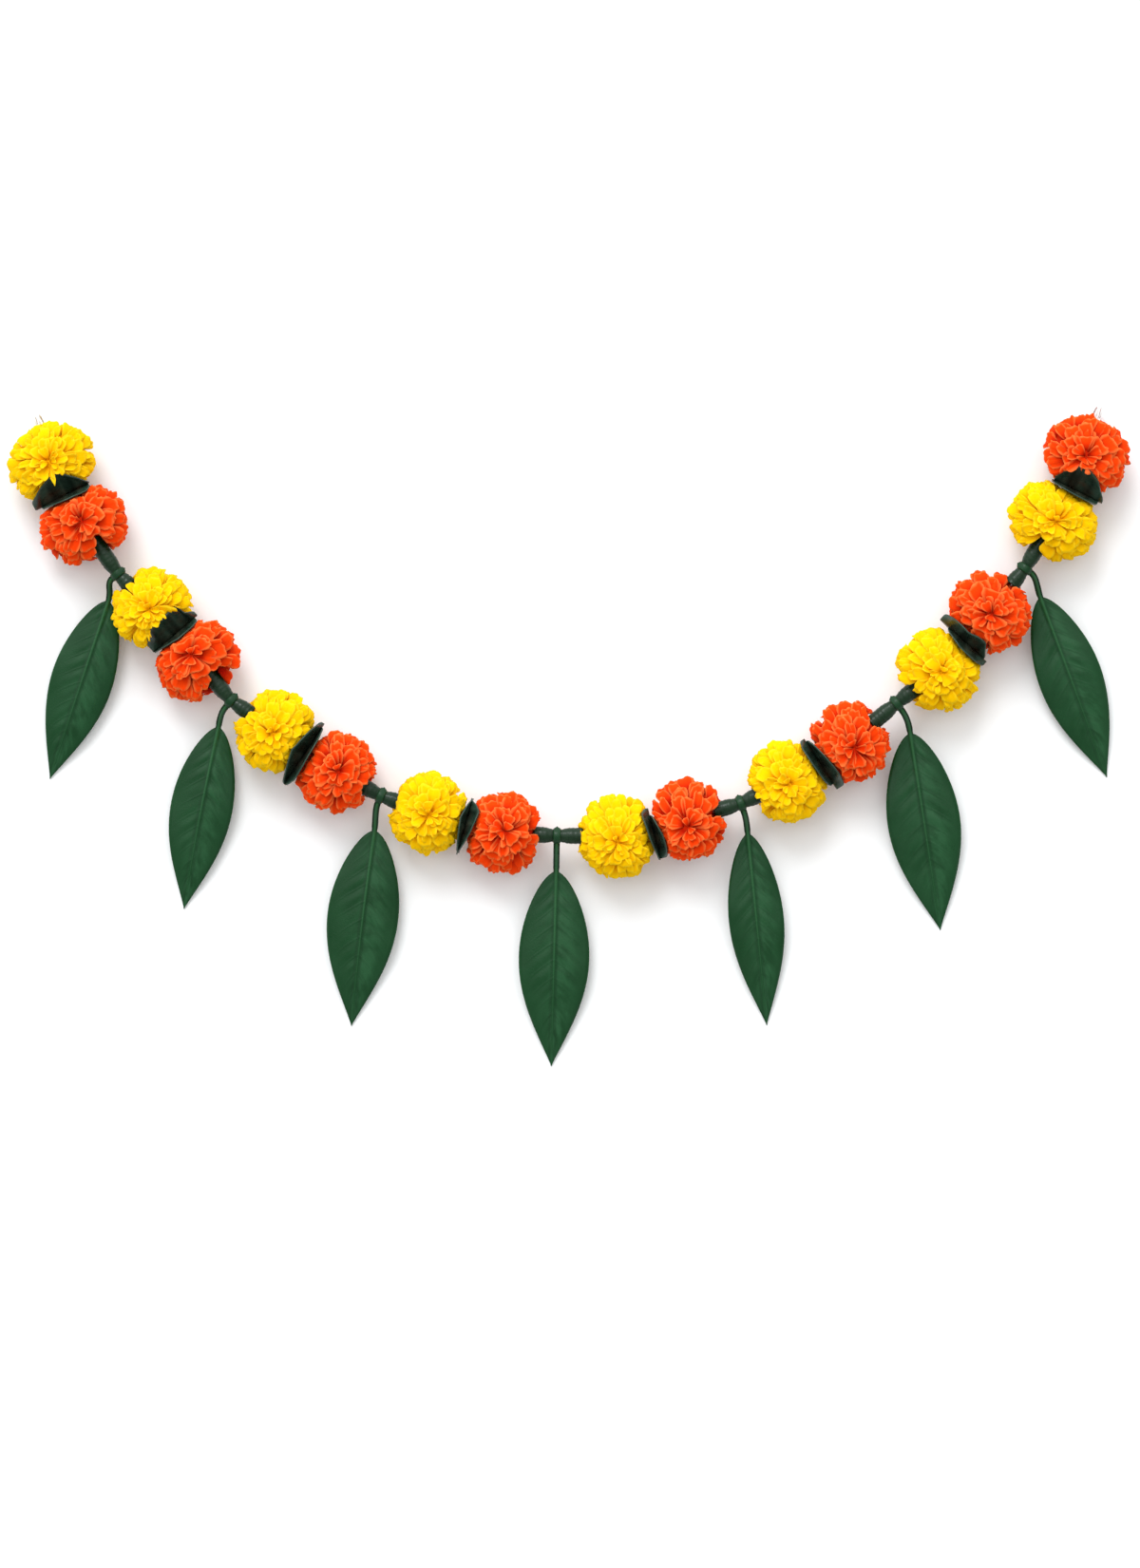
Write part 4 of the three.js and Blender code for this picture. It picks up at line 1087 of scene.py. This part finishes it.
def add_twist(shape, path, radius, segments):
    """A twisted cord along a path of points close together: its section turns as it goes."""
    run = 0.0
    stations = []
    for number, spot in enumerate(path):
        before, after = path[max(number - 1, 0)], path[min(number + 1, len(path) - 1)]
        run += (spot - before).length
        line = (after - before).normalized()
        level = left_of(line) if abs(line.z) < 0.9 else Vector((1, 0, 0))
        level = (level - line * level.dot(line)).normalized()

        def put(vert, turn, spot=spot, level=level, rise=line.cross(level), run=run):
            ply = PLIES * (turn - 2 * pi * run / TWIST_PITCH) / 2
            bulge = radius * (0.84 + 0.16 * abs(cos(ply)))
            vert.co = spot + level * bulge * cos(turn) + rise * bulge * sin(turn)
            shape.mark(vert, run, turn / pi)
        stations.append(put)
    shape.rings(segments, stations)


def make_knot(end, material):
    """An overhand knot pulled tight: three turns of the thread over and under each other."""
    outward, centre = way_out(end), knot_place(end)
    aside, up = left_of(outward), Vector((0, 0, 1))
    path = []
    for step in range(KNOT_STEPS + 1):
        a = 2 * pi * step / KNOT_STEPS
        across, rise = sin(a) + 2 * sin(2 * a), cos(a) - 2 * cos(2 * a)
        path.append(centre + aside * across * KNOT_SIZE + outward * -sin(3 * a) + up * (rise * KNOT_SIZE))
    shape = Shape()
    add_twist(shape, path, 0.85, 14)
    shape.piece(f"end_knot_{SIDES[end]}", material, "thread_cotton", [f"knot_{SIDES[end]}"])


def make_thread(material):
    stops = [knot_place(0) - way_out(0) * KNOT_HALF]
    for index in range(len(BLOOMS)):
        stops.append(bloom_place(index))
        if index % 2 and index < len(BLOOMS) - 1:
            stops.append(waist_place((index - 1) // 2))
    stops.append(knot_place(1) - way_out(1) * KNOT_HALF)
    path = []
    for start, end in zip(stops, stops[1:]):
        count = max(round((end - start).length / 1.2), 1)
        path += [start.lerp(end, step / count) for step in range(count)]
    path.append(stops[-1])
    shape = Shape()
    add_twist(shape, path, THREAD_RADIUS, 10)
    shape.piece("twisted_thread", material, "thread_cotton", ["thread"])


# -------------------- operators

class GARLAND_OT_stage(Operator):
    """Makes the floor, the lights and the camera that looks straight down"""
    bl_idname = "garland.stage"
    bl_label = "Stage"

    def execute(self, context):
        scene, settings = context.scene, context.scene.garland.stage
        camera = bpy.data.cameras.new("overhead_camera")
        camera.sensor_width = SENSOR
        camera.lens = SENSOR * settings.camera_distance / PHOTO_HEIGHT
        camera.clip_end = 100
        scene.camera = add_object("overhead_camera", camera)
        scene.camera.location = Vector(AIM) + Vector((0, 0, settings.camera_distance))

        ground = Shape()
        bmesh.ops.create_grid(ground.mesh, x_segments=4, y_segments=4, size=FLOOR_HALF)
        bmesh.ops.translate(ground.mesh, vec=(0, 0, -FLOOR_DROP), verts=ground.mesh.verts)
        floor = ground.finished("floor", floor_material("pale floor", settings.floor))

        scene.world = bpy.data.worlds.new("soft white room")
        scene.world.use_nodes = True
        feed(scene.world.node_tree.nodes["Background"],
             {"Color": settings.sky, "Strength": settings.sky_strength})

        for name, strength, spread, place in (
                ("key", settings.key_strength, settings.key_spread, KEY_PLACE),
                ("window", settings.window_strength, settings.window_spread, WINDOW_PLACE)):
            lamp = bpy.data.lights.new(name, "SUN")
            lamp.energy, lamp.angle, lamp.color = strength, spread, settings.lamps
            holder = add_object(name, lamp)
            holder.location = place
            holder.rotation_euler = (Vector(AIM) - holder.location).to_track_quat("-Z", "Y").to_euler()
        scene.view_settings.view_transform = "Standard"
        return {"FINISHED"}


class GARLAND_OT_thread(Operator):
    """Makes the end loops, their knots and the thread that the blooms are strung on"""
    bl_idname = "garland.thread"
    bl_label = "Thread and loops"

    def execute(self, context):
        material = cotton_material("twisted cotton", context.scene.garland.thread.cotton)
        for end in (0, 1):
            make_loop(end, material)
            make_knot(end, material)
        make_thread(material)
        return {"FINISHED"}


class GARLAND_OT_collars(Operator):
    """Makes the sepal collars that stand back to back between the blooms of each pair"""
    bl_idname = "garland.collars"
    bl_label = "Collars"

    def execute(self, context):
        settings = context.scene.garland.greens
        material = collar_material("collar satin", settings.collar, settings.collar_fold)
        for index in range(len(BLOOMS)):
            make_collar(index, material)
        return {"FINISHED"}


class GARLAND_OT_blooms(Operator):
    """Grows the sixteen pompons petal by petal, pressed clear of their collars and sleeves"""
    bl_idname = "garland.blooms"
    bl_label = "Blooms"

    def execute(self, context):
        given = context.scene.garland.blooms
        # Each call gives how far along the petals the painted root shade reaches, and then the depth of the
        # pleats.
        yellow = cloth_material("yellow cloth", given.yellow, given.yellow_root, given.yellow_lip, 0.8, 0.35)
        orange = cloth_material("orange cloth", given.orange, given.orange_root, given.orange_lip, 0.9, 0.55)
        for index in range(len(BLOOMS)):
            make_bloom(index, (yellow, orange)[index % 2], given.petal_thickness)
        return {"FINISHED"}


class GARLAND_OT_sleeves(Operator):
    """Winds the sleeves of tape between the pairs"""
    bl_idname = "garland.sleeves"
    bl_label = "Sleeves"

    def execute(self, context):
        material = tape_material("wound tape", context.scene.garland.greens.sleeve)
        for k in range(len(SLEEVES)):
            make_sleeve(k, material)
        return {"FINISHED"}


class GARLAND_OT_leaves(Operator):
    """Makes the leaves with their stalks and the bands that hold them to the waists"""
    bl_idname = "garland.leaves"
    bl_label = "Leaves"

    def execute(self, context):
        settings = context.scene.garland.greens
        material = leaf_material("moulded leaf", settings.leaf, settings.leaf_vein)
        for k in range(len(LEAVES)):
            make_leaf(k, material, settings.blade_thickness)
        return {"FINISHED"}


OPERATORS = [GARLAND_OT_stage, GARLAND_OT_thread, GARLAND_OT_collars, GARLAND_OT_blooms, GARLAND_OT_sleeves,
             GARLAND_OT_leaves]


class GARLAND_PT_panel(Panel):
    """Lists the steps that make the garland, and what can be changed in them"""
    bl_idname = "GARLAND_PT_panel"
    bl_label = "Marigold Garland"
    bl_space_type = "VIEW_3D"
    bl_region_type = "UI"
    bl_category = "Garland"

    def draw(self, context):
        settings = context.scene.garland
        for operator in OPERATORS:
            self.layout.operator(operator.bl_idname)
        for group in (settings.blooms, settings.greens, settings.thread, settings.stage):
            box = self.layout.box()
            for name in group.__annotations__:
                box.prop(group, name)


CLASSES = [GARLAND_PG_blooms, GARLAND_PG_greens, GARLAND_PG_thread, GARLAND_PG_stage, GARLAND_PG_settings,
           *OPERATORS, GARLAND_PT_panel]


def register():
    for item in CLASSES:
        bpy.utils.register_class(item)
    bpy.types.Scene.garland = PointerProperty(type=GARLAND_PG_settings)


def unregister():
    del bpy.types.Scene.garland
    for item in reversed(CLASSES):
        bpy.utils.unregister_class(item)


def main():
    register()
    for operator in OPERATORS:
        family, step = operator.bl_idname.split(".")
        getattr(getattr(bpy.ops, family), step)()


if __name__ == "__main__":
    main()
